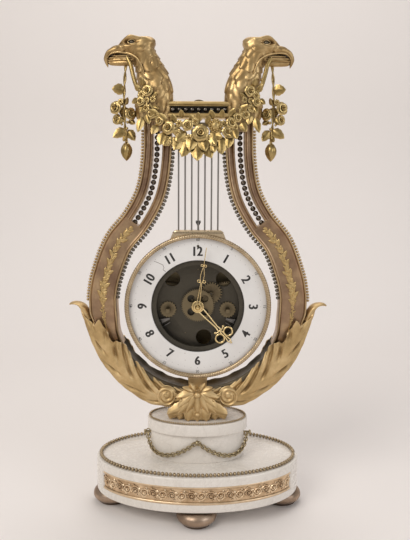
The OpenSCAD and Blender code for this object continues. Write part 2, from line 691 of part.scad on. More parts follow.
// Arbor places, seen from the front with the dial's centre at the middle
centre_at = [0, 0];
going_at = [barrel_x, -barrel_drop];
strike_at = [-barrel_x, -barrel_drop];
great_m = 2 * length_of(centre_at, going_at) / (great_n + centre_pinion_n);
centre_m = 0.6;
third_m = 0.48;
third_at = [0, centre_m * (centre_n + third_pinion_n) / 2];
escape_at = third_at + [0, third_m * (third_n + escape_pinion_n) / 2];
escape_tip_r = 9.5;
pallet_at = escape_at + [0, 13];
pin_m = 0.5;
warning_m = 0.4;
pin_at = strike_at + around(great_m * (great_n + pin_pinion_n) / 2, -55);
warning_at = pin_at + around(pin_m * (pin_n + warning_pinion_n) / 2, 200);
fly_at = warning_at + around(warning_m * (warning_n + fly_pinion_n) / 2, -75);
minute_at = around(18, 42);
cannon_m = 2 * length_of(centre_at, minute_at) / (cannon_n + minute_n);
hour_m = 2 * length_of(centre_at, minute_at) / (minute_pinion_n + hour_n);

// Phases in mesh at rest, worked out along each train
great_phase = meshed(0, centre_pinion_n, great_n, direction(centre_at, going_at));
third_phase = meshed(0, centre_n, third_pinion_n, direction(centre_at, third_at));
escape_phase = meshed(third_phase, third_n, escape_pinion_n, direction(third_at, escape_at));
pin_phase = meshed(0, great_n, pin_pinion_n, direction(strike_at, pin_at));
warning_phase = meshed(pin_phase, pin_n, warning_pinion_n, direction(pin_at, warning_at));
fly_phase = meshed(warning_phase, warning_n, fly_pinion_n, direction(warning_at, fly_at));
minute_phase = meshed(0, cannon_n, minute_n, direction(centre_at, minute_at));
hour_phase = meshed(minute_phase, minute_pinion_n, hour_n, direction(minute_at, centre_at));

// Levels through the movement, from the front plate's face backwards
plate_inside = plate_front + plate_t;
back_inside = plate_inside + plate_gap;
back_outside = back_inside + plate_t;
centre_arbor_r = 1.5;
barrel_arbor_r = 2.5;
thin_arbor_r = 0.6;
pillar_r = 2.6;
stud_r = 1.4;
pillar_at = [for (a = [65, 115, -60, -97]) around(50, a)];
barrel_r = great_m * great_n / 2 - 2.4;
thin_arbors = [third_at, escape_at, pallet_at, pin_at, warning_at, fly_at];
window_r = 8;

module plate_outline() {
    difference() {
        circle(r = plate_r);
        circle(r = centre_arbor_r + run_gap);
        for (p = [going_at, strike_at]) translate(p) circle(r = barrel_arbor_r + run_gap);
        for (p = thin_arbors) translate(p) circle(r = thin_arbor_r + run_gap);
        for (p = pillar_at) translate(p) circle(r = stud_r + run_gap);
    }
}
module front_plate() {
    color(old_brass) at_dial() {
        slab(plate_front, plate_inside) difference() {
            plate_outline();
            for (s = [-1, 1]) translate([26 * s, 26]) circle(r = window_r);
            translate([6, -34]) circle(r = window_r);
        }
        translate([minute_at[0], 0, minute_at[1]]) rod_y(1, -10.6, plate_front + 0.5);
        for (s = [-1, 1]) translate([s * click_at[0], 0, click_at[1]]) rod_y(1, -7.2, plate_front + 0.5);
    }
}
module back_plate() {
    color(old_brass) at_dial() {
        slab(back_inside, back_outside) plate_outline();
        translate([hammer_at[0], 0, hammer_at[1]]) rod_y(1.5, back_outside - 0.5, hammer_back);
    }
}
module plate_pillars() {
    color(old_brass) for (p = pillar_at) at_arbor(p) {
        rod_y(pillar_r, plate_inside, back_inside);
        rod_y(stud_r, plate_front - 2.4, plate_inside + 1);
        rod_y(stud_r, back_inside - 1, back_outside + 2.4);
        slab(plate_front - 2, plate_front) difference() {
            circle(r = 2.7, $fn = 6);
            circle(r = stud_r + 0.02);
        }
        slab(back_outside, back_outside + 2) difference() {
            circle(r = 2.7, $fn = 6);
            circle(r = stud_r + 0.02);
        }
    }
}
module movement_bracket() {
    low = -(hub_high_r * cos(hub_half_angle)) + 0.05;
    top = -plate_r + 6;
    color(gilt) at_dial() difference() {
        slab(plate_front - 2, back_outside + 2)
            polygon([[-9, low], [9, low], [10.5, low + 14], [20, top], [-20, top], [-10.5, low + 14]]);
        rod_y(plate_r + 0.05, plate_front - 3, back_outside + 3);
    }
}

// Barrels, winding arbors with their ratchets, and clicks
ratchet_n = 18;
ratchet_r = 8.6;
ratchet_y = [plate_front - 2.2, plate_front - 0.4];
square_end = -15.2;
square_w = 3.6;
going_great_y = [plate_inside + 3, plate_inside + 6];
strike_great_y = [plate_inside + 18, plate_inside + 21];
module drum(y0, y1, great, phase) {
    difference() {
        union() {
            rod_y(barrel_r, y0, y1);
            slab(great[0], great[1]) polygon(wheel_outline(great_n, great_m, centre_pinion_n, phase));
        }
        rod_y(barrel_arbor_r + run_gap, y0 - 1, y1 + 1);
    }
}
module going_barrel() {
    color("#a88748") at_arbor(going_at) drum(going_great_y[0], plate_inside + 22, going_great_y, great_phase);
}
module strike_barrel() {
    color("#a88748") at_arbor(strike_at) drum(plate_inside + 2, strike_great_y[1], strike_great_y, 0);
}
// Saw teeth that a click can catch
function saw(n, r, depth) = [for (i = [0:n - 1]) each [around(r, 360 * i / n),
    around(r - depth, 360 * (i + 0.88) / n)]];
module winding_arbor(flip) {
    rod_y(barrel_arbor_r, plate_front - 0.4, back_outside + 0.6);
    slab(square_end, plate_front - 2) square(square_w, center = true);
    slab(ratchet_y[0], ratchet_y[1]) mirror([flip, 0]) polygon(saw(ratchet_n, ratchet_r, 1.3));
}
module going_arbor() {
    color(steel) at_arbor(going_at) winding_arbor(0);
}
module strike_arbor() {
    color(steel) at_arbor(strike_at) winding_arbor(1);
}
click_at = [barrel_x + 7.5, -barrel_drop - 12.5];
click_tip = going_at + around(ratchet_r + 0.3, -100);
module click_half() {
    d = click_tip - click_at;
    lean = direction(click_at, click_tip);
    color(steel) at_arbor(click_at) difference() {
        union() {
            rod_y(2.6, ratchet_y[0], ratchet_y[1]);
            slab(ratchet_y[0], ratchet_y[1])
                polygon([around(2.3, lean + 90), d + [0, -1.6], d, around(2.3, lean - 90)]);
        }
        rod_y(1 + run_gap, ratchet_y[0] - 1, ratchet_y[1] + 1);
    }
}
module going_click() {
    click_half();
}
module strike_click() {
    mirror([1, 0, 0]) click_half();
}
module click_springs() {
    spring_t = 0.5;
    y0 = plate_front - 2;
    foot = click_at + [3.4, -8.6];
    color(steel) for (m = [0, 1]) mirror([m, 0, 0]) at_dial() {
        slab(y0, plate_front) translate(foot) circle(r = 2);
        slab(y0, plate_front - 0.5) polygon([foot + [-1.6, 1], foot + [-12.6, 7.9], foot + [-12.9, 7.4],
            foot + [-1.9, 0.4]]);
    }
}

// Going train
centre_pinion_y = [plate_inside + 2, plate_inside + 7];
centre_wheel_y = [plate_inside + 23.6, plate_inside + 25];
third_pinion_y = [plate_inside + 23, plate_inside + 25.6];
third_wheel_y = [plate_inside + 27, plate_inside + 28.2];
escape_pinion_y = [plate_inside + 26.5, plate_inside + 28.7];
escape_wheel_y = [plate_inside + 23, plate_inside + 24.4];
arbor_from = plate_front + 0.3;
arbor_to = back_outside - 0.3;
module centre_wheel() {
    color("#b7954f") at_dial() {
        rod_y(centre_arbor_r, nut_front, arbor_to);
        slab(centre_pinion_y[0], centre_pinion_y[1]) polygon(pinion_outline(centre_pinion_n, great_m, 0));
        slab(centre_wheel_y[0], centre_wheel_y[1]) difference() {
            polygon(wheel_outline(centre_n, centre_m, third_pinion_n, 0));
            windows(4, 10, 4.6);
        }
    }
}
module third_wheel() {
    color("#b7954f") at_arbor(third_at) {
        rod_y(thin_arbor_r, arbor_from, arbor_to);
        slab(third_pinion_y[0], third_pinion_y[1])
            polygon(pinion_outline(third_pinion_n, centre_m, third_phase));
        slab(third_wheel_y[0], third_wheel_y[1]) difference() {
            polygon(wheel_outline(third_n, third_m, escape_pinion_n, third_phase));
            windows(4, 8, 3.6);
        }
    }
}
module escape_wheel() {
    color("#b7954f") at_arbor(escape_at) {
        rod_y(thin_arbor_r, arbor_from, arbor_to);
        slab(escape_pinion_y[0], escape_pinion_y[1])
            polygon(pinion_outline(escape_pinion_n, third_m, escape_phase));
        slab(escape_wheel_y[0], escape_wheel_y[1]) difference() {
            polygon([for (i = [0:escape_n - 1]) each [around(escape_tip_r - 1.5, 360 * i / escape_n),
                around(escape_tip_r, 360 * (i + 0.62) / escape_n), around(escape_tip_r, 360 * (i + 0.72) / escape_n),
                around(escape_tip_r - 1.5, 360 * (i + 0.8) / escape_n)]]);
            windows(4, 4.6, 2);
        }
    }
}
// Anchor above the escape wheel, with the crutch on the same arbor in front of the plate
pallet_spread = 42;
pallet_clear = 1.1;
fork_z = 84;
crutch_y = [plate_front - 3.4, plate_front - 1.9];
rod_y_at = -11.5;
fork_pin_r = 0.6;
module pallet_anchor() {
    a = pallet_at[1] - escape_at[1];
    nose_r = escape_tip_r + pallet_clear;
    nose = [nose_r * sin(pallet_spread), nose_r * cos(pallet_spread) - a];
    color(steel) at_arbor(pallet_at) {
        rod_y(thin_arbor_r, crutch_y[0], arbor_to);
        slab(escape_wheel_y[0] - 0.6, escape_wheel_y[1] + 0.6) {
            circle(r = 2);
            for (s = [-1, 1]) polygon([[-0.6 * s, 1.8], [s * (nose[0] + 1.8), nose[1] + 2.4],
                [s * (nose[0] + 1.6), nose[1]], [s * nose[0], nose[1]], [s * (nose[0] - 1), nose[1] + 1.8],
                [-0.6 * s, -1.2]]);
        }
    }
}
module crutch() {
    reach = fork_z - pallet_at[1];
    fork_half = rod_r + fork_pin_r + run_gap;
    color(steel) at_arbor(pallet_at) {
        slab(crutch_y[0], crutch_y[1]) difference() {
            union() {
                circle(r = 2.6);
                polygon([[-1.5, 0], [1.5, 0], [0.9, reach - 4], [fork_half + 1, reach - 1],
                    [fork_half + 1, reach + 1], [-fork_half - 1, reach + 1], [-fork_half - 1, reach - 1],
                    [-0.9, reach - 4]]);
            }
            circle(r = thin_arbor_r + 0.02);
        }
        for (s = [-1, 1]) translate([s * fork_half, 0, reach])
            rod_y(fork_pin_r, rod_y_at - 1.5, crutch_y[0] + 0.3);
    }
}

// Motion work and hands
minute_hand_y = [-21, -20];
hour_hand_y = [-19, -18.1];
nut_front = -23;
cannon_pipe_r = 2.3;
hour_pipe_r = 3.4;
cannon_y = [-6.6, -5];
minute_wheel_y = [-6.8, -5.2];
minute_pinion_y = [-10.2, -6.8];
hour_wheel_y = [-9.8, -8.4];
minute_angle = 90 - 8;
hour_angle = 90 - 137;
module cannon_pinion() {
    color("#b7954f") at_dial() difference() {
        union() {
            slab(cannon_y[0], cannon_y[1]) polygon(pinion_outline(cannon_n, cannon_m, 0));
            rod_y(cannon_pipe_r, minute_hand_y[0] + 0.2, cannon_y[1]);
        }
        rod_y(centre_arbor_r + run_gap, minute_hand_y[0] - 1, cannon_y[1] + 1);
    }
}
module minute_wheel() {
    color("#b7954f") at_arbor(minute_at) difference() {
        union() {
            slab(minute_wheel_y[0], minute_wheel_y[1])
                polygon(wheel_outline(minute_n, cannon_m, cannon_n, minute_phase));
            slab(minute_pinion_y[0], minute_pinion_y[1])
                polygon(pinion_outline(minute_pinion_n, hour_m, minute_phase));
        }
        rod_y(minute_stud_bore, minute_pinion_y[0] - 1, minute_wheel_y[1] + 1);
    }
}
minute_stud_bore = 1.05;
module hour_wheel() {
    color("#b7954f") at_dial() difference() {
        union() {
            slab(hour_wheel_y[0], hour_wheel_y[1]) difference() {
                polygon(wheel_outline(hour_n, hour_m, minute_pinion_n, hour_phase));
                windows(4, 9.6, 3.8);
            }
            rod_y(hour_pipe_r, hour_hand_y[0] + 0.1, hour_wheel_y[1]);
        }
        rod_y(cannon_pipe_r + run_gap, hour_hand_y[0] - 1, hour_wheel_y[1] + 1);
    }
}
// Pierced scroll hands
module ring2(r, w) {
    difference() {
        circle(r = r);
        circle(r = r - w);
    }
}
module minute_hand() {
    l = minute_hand_l;
    color(gilt) at_dial() slab(minute_hand_y[0], minute_hand_y[1]) rotate([0, 0, minute_angle]) difference() {
        union() {
            circle(r = 4.4);
            polygon([[3, -1.1], [0.36 * l, -0.8], [0.36 * l, 0.8], [3, 1.1]]);
            translate([0.4 * l, 0]) ring2(3, 1.1);
            polygon([[0.44 * l, -0.9], [0.8 * l, -0.6], [0.8 * l, 0.6], [0.44 * l, 0.9]]);
            for (s = [-1, 1]) translate([0.47 * l, 2.2 * s]) ring2(1.9, 0.9);
            polygon([[0.79 * l, -0.6], [0.84 * l, -1.6], [l, 0], [0.84 * l, 1.6], [0.79 * l, 0.6]]);
        }
        circle(r = cannon_pipe_r + 0.02);
    }
}
module hour_hand() {
    l = hour_hand_l;
    color(gilt) at_dial() difference() {
        union() {
            rod_y(5.6, hour_hand_y[0], hour_hand_y[1]);
            hour_piece() polygon([[4, -1.3], [0.5 * l, -1], [0.5 * l, 1], [4, 1.3]]);
            hour_piece() translate([0.57 * l, 0]) ring2(4, 1.3);
            hour_piece() translate([0.72 * l, 3.8]) ring2(3.2, 1.2);
            hour_piece() translate([0.72 * l, -3.8]) ring2(3.2, 1.2);
            hour_piece() polygon([[0.64 * l, -1], [0.82 * l, -1.2], [0.86 * l, -2.6], [l, 0],
                [0.86 * l, 2.6], [0.82 * l, 1.2], [0.64 * l, 1]]);
        }
        rod_y(hour_pipe_r + 0.02, hour_hand_y[0] - 1, hour_hand_y[1] + 1);
    }
}
module hour_piece() {
    slab(hour_hand_y[0], hour_hand_y[1]) rotate([0, 0, hour_angle]) children();
}
module hand_nut() {
    color(gilt) at_dial() difference() {
        rotate([-90, 0, 0]) rotate_extrude() polygon([[0, nut_front - 0.8], [1.6, nut_front - 0.5],
            [2.8, minute_hand_y[0] - 0.3], [2.8, minute_hand_y[0] - 0.02], [0, minute_hand_y[0] - 0.02]]);
        rod_y(centre_arbor_r + run_gap, nut_front - 0.05, minute_hand_y[0] + 1);
    }
}

// Strike train, bell and hammer
pin_pinion_y = [plate_inside + 17.5, plate_inside + 21.5];
pin_wheel_y = [plate_inside + 23, plate_inside + 24.4];
warning_pinion_y = [plate_inside + 22.4, plate_inside + 25];
warning_wheel_y = [plate_inside + 26.6, plate_inside + 27.8];
fly_pinion_y = [plate_inside + 26, plate_inside + 28.4];
fly_vane_y = [plate_inside + 4, plate_inside + 18];
count_y = [back_outside + 1, back_outside + 2.4];
count_r = 15;
module pin_wheel() {
    color("#b7954f") at_arbor(pin_at) {
        rod_y(thin_arbor_r, arbor_from, count_y[1] + 1);
        slab(pin_pinion_y[0], pin_pinion_y[1]) polygon(pinion_outline(pin_pinion_n, great_m, pin_phase));
        slab(pin_wheel_y[0], pin_wheel_y[1]) difference() {
            polygon(wheel_outline(pin_n, pin_m, warning_pinion_n, pin_phase));
            windows(4, 6.4, 2.6);
        }
        for (i = [0:7]) translate([9.8 * cos(45 * i), 0, 9.8 * sin(45 * i)])
            rod_y(0.5, pin_wheel_y[1] - 0.4, pin_wheel_y[1] + 1.2);
    }
}
module count_wheel() {
    strokes = 90;
    color("#b7954f") at_arbor(pin_at) slab(count_y[0], count_y[1]) difference() {
        circle(r = count_r);
        circle(r = thin_arbor_r + 0.02);
        windows(4, 8, 3);
        for (k = [1:12]) rotate([0, 0, 360 * (k * (k + 1) / 2 + k) / strokes])
            translate([count_r - 1.2, -0.5]) square([3, 1]);
    }
}
module warning_wheel() {
    color("#b7954f") at_arbor(warning_at) {
        rod_y(thin_arbor_r, arbor_from, arbor_to);
        slab(warning_pinion_y[0], warning_pinion_y[1])
            polygon(pinion_outline(warning_pinion_n, pin_m, warning_phase));
        slab(warning_wheel_y[0], warning_wheel_y[1]) difference() {
            polygon(wheel_outline(warning_n, warning_m, fly_pinion_n, warning_phase));
            windows(4, 5.4, 2.2);
        }
    }
}
module fly() {
    color(steel) at_arbor(fly_at) {
        rod_y(thin_arbor_r, arbor_from, arbor_to);
        slab(fly_pinion_y[0], fly_pinion_y[1]) polygon(pinion_outline(fly_pinion_n, warning_m, fly_phase));
        slab(fly_vane_y[0], fly_vane_y[1]) {
            square([10.8, 0.8], center = true);
            circle(r = 1.3);
        }
    }
}
bell_at = [0, -6];
bell_front = back_outside + 10;
bell_depth = 17;
bell_t = 1.4;
bell_post_r = 2;
bell_hole_r = bell_post_r + run_gap;
function bell_curve(r, depth) = [for (i = [0:12]) let (t = 90 * i / 12)
    [r * pow(cos(t), 0.75), bell_front + depth * sin(t)]];
module bell() {
    color("#b08b45") at_arbor(bell_at) rotate([-90, 0, 0]) rotate_extrude() polygon(concat(
        [for (p = bell_curve(bell_r, bell_depth)) if (p[0] > bell_hole_r + 0.5) p],
        [[bell_hole_r, bell_front + bell_depth], [bell_hole_r, bell_front + bell_depth - bell_t]],
        reversed([for (p = bell_curve(bell_r - bell_t, bell_depth - bell_t)) if (p[0] > bell_hole_r + 0.5) p])));
}
module bell_stand() {
    seat = bell_front + bell_depth - bell_t;
    color(old_brass) at_arbor(bell_at) {
        rod_y(5, back_outside, back_outside + 2);
        rod_y(3, back_outside + 1, seat);
        rod_y(bell_post_r, seat - 1, seat + bell_t + 4);
        slab(seat + bell_t + 0.02, seat + bell_t + 2.4) difference() {
            circle(r = 4.2, $fn = 6);
            circle(r = bell_post_r + 0.02);
        }
    }
}
hammer_at = [-44, -24];
hammer_back = back_outside + 12;
hammer_head_r = 4;
hammer_rest_gap = 0.8;
hammer_l = 29.5;
hammer_y = [back_outside + 8.5, back_outside + 10];
module hammer() {
    reach = bell_r + hammer_head_r + hammer_rest_gap;
    span = length_of(hammer_at, bell_at);
    turn = direction(hammer_at, bell_at)
        + acos((hammer_l * hammer_l + span * span - reach * reach) / (2 * hammer_l * span));
    color(steel) at_arbor(hammer_at) {
        slab(hammer_y[0], hammer_y[1]) rotate([0, 0, turn]) difference() {
            union() {
                circle(r = 3);
                polygon([[0, -1.5], [hammer_l, -1], [hammer_l, 1], [0, 1.5]]);
            }
            circle(r = 1.5 + run_gap);
        }
        translate([hammer_l * cos(turn), 0, hammer_l * sin(turn)])
            rod_y(hammer_head_r, hammer_y[0] - 0.2, hammer_y[0] + 9);
    }
}

// Pendulum: a ring round the dial hung on seven rods from a knife edge
ring_y = -18.5;
bridge_y = [-17.5, -9.6];
bridge_top = ring_r + 5.4;
bridge_t = 2.7;
yoke_low = 176;
yoke_h = 4;
yoke_y = [-13.4, -9.6];
module pendulum_ring() {
    w = rod_pitch * (rod_count - 1) / 2 + 3;
    skirt_a = asin((w + 6) / ring_r);
    color(gilt) at_dial() {
        translate([0, ring_y, 0]) rotate([90, 0, 0]) rotate_extrude($fn = 96)
            translate([ring_r, 0]) circle(r = ring_wire_r);
        slab(bridge_y[0], bridge_y[1]) polygon([[-w, bridge_top], [w, bridge_top],
            [w + 3.2, bridge_top - bridge_t], [-w - 3.2, bridge_top - bridge_t]]);
        slab(bridge_y[0], bridge_y[0] + 1.1) polygon(concat([[-w - 2.5, bridge_top - bridge_t + 0.5],
            [w + 2.5, bridge_top - bridge_t + 0.5]],
            [for (k = [6 : -1 : -6]) ring_r * [sin(k * skirt_a / 6), cos(k * skirt_a / 6)]]));
    }
}
module pendulum_rods() {
    color(steel) at_dial() for (k = [0:rod_count - 1])
        translate([rod_pitch * (k - (rod_count - 1) / 2), rod_y_at, bridge_top])
            cylinder(r = rod_r, h = yoke_low - bridge_top);
}
module pendulum_yoke() {
    w = rod_pitch * (rod_count - 1) / 2 + 2.6;
    strap_half = 1.5;
    color(old_brass) at_dial() {
        translate([-w, yoke_y[0], yoke_low]) cube([2 * w, yoke_y[1] - yoke_y[0], yoke_h]);
        translate([-strap_half, yoke_y[1] - 1, yoke_low]) cube([2 * strap_half, hatch_mid + strap_half + 1
            - yoke_y[1], yoke_h]);
        translate([-strap_half, hatch_mid - strap_half, yoke_low + 1])
            cube([2 * strap_half, 2 * strap_half, pivot_z - yoke_low - 1]);
        translate([0, 0, pivot_z]) rod_y(knife_r, hatch_y0 + 0.6, hatch_y0 + hatch_d - 0.6);
        slab(hatch_y0 + 0.6, hatch_y0 + hatch_d - 0.6)
            polygon([[-0.8 * knife_r, pivot_z + 0.3], [0.8 * knife_r, pivot_z + 0.3], [1.1, pivot_z + 3],
                [-1.1, pivot_z + 3]]);
    }
}

bun_feet();
marble_base();
base_frieze();
base_beads();
plinth_neck();
plinth_cap();
plinth_ring();
chain_swags();
tie_rod();
lyre_foot();
acanthus_left();
acanthus_right();
palmette();
lyre_arm_left();
lyre_arm_right();
arm_sprigs();
arm_beads();
pearl_strings();
crossbar();
suspension_block();
eagle_left();
eagle_right();
flower_swag();
beak_drops();
dial();
dial_mount();
movement_bracket();
front_plate();
back_plate();
plate_pillars();
going_barrel();
strike_barrel();
going_arbor();
strike_arbor();
centre_wheel();
third_wheel();
escape_wheel();
pallet_anchor();
crutch();
cannon_pinion();
minute_wheel();
hour_wheel();
minute_hand();
hour_hand();
hand_nut();
pin_wheel();
count_wheel();
warning_wheel();
fly();
hammer();
bell();
bell_stand();
going_click();
strike_click();
click_springs();
pendulum_ring();
pendulum_rods();
pendulum_yoke();
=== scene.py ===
import math
import bpy
from mathutils import Matrix, Vector


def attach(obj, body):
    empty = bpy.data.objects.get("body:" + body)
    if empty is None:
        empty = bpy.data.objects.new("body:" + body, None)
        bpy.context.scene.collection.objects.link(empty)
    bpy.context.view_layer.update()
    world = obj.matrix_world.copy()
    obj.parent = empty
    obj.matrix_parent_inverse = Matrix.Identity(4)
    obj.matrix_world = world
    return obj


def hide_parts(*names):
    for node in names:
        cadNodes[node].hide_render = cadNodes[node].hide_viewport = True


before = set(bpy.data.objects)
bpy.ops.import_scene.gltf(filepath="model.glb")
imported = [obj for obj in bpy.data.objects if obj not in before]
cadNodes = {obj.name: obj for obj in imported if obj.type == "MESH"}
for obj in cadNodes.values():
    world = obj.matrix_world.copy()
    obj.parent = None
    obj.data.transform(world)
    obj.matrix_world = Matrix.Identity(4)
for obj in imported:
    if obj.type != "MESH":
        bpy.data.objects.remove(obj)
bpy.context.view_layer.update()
mm = 0.001
dialUp = 212.0  # height of the dial's centre above the floor, mm
front = Vector((0, -1, 0))
upward = Vector((0, 0, 1))
print("frame loaded:", len(cadNodes), "nodes")


def clearSelection():
    bpy.ops.object.select_all(action="DESELECT")


def pick(piece):
    clearSelection()
    piece.select_set(True)
    bpy.context.view_layer.objects.active = piece


def editAll(piece, act):  # one act on the whole mesh, in edit mode
    pick(piece)
    bpy.ops.object.mode_set(mode="EDIT")
    bpy.ops.mesh.select_all(action="SELECT")
    act()
    bpy.ops.object.mode_set(mode="OBJECT")
    return piece


def ease(x):
    x = max(0.0, min(1.0, x))
    return x * x * (3 - 2 * x)


def cosSin(degrees):
    return math.cos(math.radians(degrees)), math.sin(math.radians(degrees))


def between(table, x):  # straight lines through a table of (x, value)
    for (x0, y0), (x1, y1) in zip(table, table[1:]):
        if x <= x1:
            return y0 + (y1 - y0) * max(0.0, (x - x0) / (x1 - x0))
    return table[-1][1]


def smoothLine(knots, steps):  # a soft curve through the knots
    ends = [2 * Vector(knots[0]) - Vector(knots[1])] + [Vector(k) for k in knots]
    ends.append(2 * Vector(knots[-1]) - Vector(knots[-2]))
    line = []
    for i in range(1, len(ends) - 2):
        a, b, c, d = ends[i - 1:i + 3]
        for k in range(steps):
            t = k / steps
            line.append(0.5 * (2 * b + (c - a) * t + (2 * a - 5 * b + 4 * c - d) * t * t
                               + (3 * b - a - 3 * c + d) * t ** 3))
    line.append(Vector(knots[-1]))
    return line


def evenly(line, step):  # points a step apart along a line
    spots, left = [line[0]], step
    for a, b in zip(line, line[1:]):
        gone, span = 0.0, (b - a).length
        while span - gone >= left:
            gone += left
            spots.append(a + (b - a) * (gone / span))
            left = step
        left -= span - gone
    return spots


def runAt(line, i):  # the way a line runs at one of its points
    return line[min(i + 1, len(line) - 1)] - line[max(i - 1, 0)]


def gridSheet(name, cols, rows, place):  # a grid laid over a surface, place(u, v) in mm
    clearSelection()
    bpy.ops.mesh.primitive_grid_add(x_subdivisions=cols, y_subdivisions=rows, size=1)
    piece = bpy.context.object
    piece.name = name
    for vert in piece.data.vertices:
        vert.co = Vector(place(vert.co.x + 0.5, vert.co.y + 0.5)) * mm
    return piece


def turnAt(u, count):  # the angle of a column, where the last column meets the first
    return 2 * math.pi * (int(round(u * count)) % count) / count


def rowAt(rows, v):
    return rows[int(round(v * (len(rows) - 1)))]


def closeUp(piece, fill=False):  # weld the seam, close the ends, turn the faces out
    def weld():
        bpy.ops.mesh.remove_doubles(threshold=1e-6)
        bpy.ops.mesh.dissolve_degenerate(threshold=1e-7)
        if fill:
            bpy.ops.mesh.select_all(action="SELECT")
            bpy.ops.mesh.fill_holes(sides=0)
        bpy.ops.mesh.select_all(action="SELECT")
        bpy.ops.mesh.normals_make_consistent(inside=False)
    return editAll(piece, weld)


def thicken(piece, wall, offset=-1.0):
    pick(piece)
    shell = piece.modifiers.new("wall", "SOLIDIFY")
    shell.thickness = wall * mm
    shell.offset = offset
    bpy.ops.object.modifier_apply(modifier=shell.name)
    return piece


def soften(piece, angle=45):
    pick(piece)
    bpy.ops.object.shade_smooth_by_angle(angle=math.radians(angle))
    return piece


def joined(pieces, name):
    clearSelection()
    for piece in pieces:
        piece.select_set(True)
    bpy.context.view_layer.objects.active = pieces[0]
    if len(pieces) > 1:
        bpy.ops.object.join()
    pieces[0].name = name
    return pieces[0]


def copyOf(piece, move, name=None):  # a copy with its own mesh, moved in the mesh
    twin = piece.copy()
    twin.data = piece.data.copy()
    twin.data.transform(move)
    if move.determinant() < 0:
        twin.data.flip_normals()
    bpy.context.scene.collection.objects.link(twin)
    if name:
        twin.name = name
    return twin


def putAway(piece):
    mesh = piece.data
    bpy.data.objects.remove(piece)
    bpy.data.meshes.remove(mesh)


def spread(model, moves, name):  # copies of one model joined as a piece, the model put away
    twins = [copyOf(model, move) for move in moves]
    putAway(model)
    return joined(twins, name)


def mirrored(piece, name):
    return copyOf(piece, Matrix.Diagonal((-1, 1, 1, 1)), name)


def bothSides(right, name):  # the right half and its mirror image as one piece
    return joined([right, mirrored(right, name + "Left")], name)


def at(x, y, z, turn=None, size=1.0):  # a move to a place in mm
    move = Matrix.Translation(Vector((x, y, z)) * mm)
    if turn is not None:
        move = move @ turn
    if not isinstance(size, tuple):
        size = (size, size, size)
    return move @ Matrix.Diagonal((*size, 1))


def fromDial(x, y, z, turn=None, size=1.0):  # the same, its height counted from the dial's centre
    return at(x, y, dialUp + z, turn, size)


def facing(out, up):  # turn local +Z to out and local +Y towards up
    z = Vector(out).normalized()
    x = Vector(up).cross(z)
    x = x.normalized() if x.length > 1e-6 else Vector((1, 0, 0))
    return Matrix((x, z.cross(x), z)).transposed().to_4x4()


def wire(name, points, width, depth, sides=8, out=front, closed=False):  # a bar along points
    points = [Vector(p) for p in points]
    last = len(points) - 1
    frames = []
    for i, p in enumerate(points):
        along = points[(i + 1) % last] - points[(i - 1) % last] if closed else runAt(points, i)
        side = along.normalized().cross(out).normalized()
        frames.append((p, side, side.cross(along).normalized()))

    def lay(u, v):
        p, side, top = rowAt(frames, v)
        wide = width(v) if callable(width) else width
        tall = depth(v) if callable(depth) else depth
        turn = turnAt(u, sides)
        return p + side * wide * math.cos(turn) + top * tall * math.sin(turn)
    return closeUp(gridSheet(name, sides, last, lay), fill=not closed)


def turned(name, profile, steps, place=None):  # a profile of (radius, along) turned about an axis
    def lay(u, v):
        r, along = rowAt(profile, v)
        turn = turnAt(u, steps)
        spot = (r * math.cos(turn), r * math.sin(turn), along)
        return place(*spot) if place else spot
    return closeUp(gridSheet(name, steps, len(profile) - 1, lay))


def onDial(x, y, z):  # for what turns about the dial's axis
    return (x, z, dialUp + y)


def swept(name, section, steps, place):  # a closed section carried along, place(corner, v)
    count = len(section)

    def lay(u, v):
        return place(section[int(round(u * count)) % count], v)
    return closeUp(gridSheet(name, count, steps, lay), fill=True)


def setAll(node, values):
    for key, value in values.items():
        node.inputs[key].default_value = value
    return node


# camera, backdrop and lamps
studio = {
    "eye": (0.007, -0.664, 0.338), "lens": 44.07, "pitch": 82.16, "roll": 0.34, "aim": (0, 0, 0.22),
    "floorColour": (0.85, 0.81, 0.785, 1), "worldColour": (1.0, 0.97, 0.95, 1), "worldStrength": 0.40}
lampList = [("keyLamp", (-0.95, -1.25, 1.45), 1.1, 17.0, (1.0, 0.96, 0.91)),
            ("fillLamp", (1.25, -1.0, 0.85), 1.0, 5.0, (0.95, 0.96, 1.0)),
            ("topLamp", (0.1, 0.45, 1.55), 1.2, 7.0, (1.0, 0.97, 0.95))]
camera = bpy.data.objects.new("camera", bpy.data.cameras.new("camera"))
bpy.context.scene.collection.objects.link(camera)
camera.data.lens = studio["lens"]
camera.data.sensor_width = 36
camera.data.clip_start = 0.01
camera.matrix_world = (Matrix.Translation(studio["eye"])
                       @ Matrix.Rotation(math.radians(studio["pitch"]), 4, "X")
                       @ Matrix.Rotation(math.radians(studio["roll"]), 4, "Z"))
bpy.context.scene.camera = camera
for name, place, size, power, colour in lampList:
    lamp = bpy.data.lights.new(name, "AREA")
    lamp.shape = "DISK"
    lamp.size = size
    lamp.energy = power
    lamp.color = colour
    holder = bpy.data.objects.new(name, lamp)
    holder.location = place
    holder.rotation_euler = (Vector(studio["aim"]) - Vector(place)).to_track_quat("-Z", "Y").to_euler()
    bpy.context.scene.collection.objects.link(holder)
world = bpy.data.worlds.new("studio")
world.use_nodes = True
setAll(world.node_tree.nodes["Background"],
       {"Color": studio["worldColour"], "Strength": studio["worldStrength"]})
bpy.context.scene.world = world
bpy.context.scene.view_settings.view_transform = "Standard"


# finishes
def newFinish(name):  # a material, its nodes, its shader and the piece's own coordinates
    finish = bpy.data.materials.new(name)
    finish.use_nodes = True
    tree = finish.node_tree
    coord = tree.nodes.new("ShaderNodeTexCoord").outputs["Object"]
    return finish, tree, tree.nodes["Principled BSDF"], coord


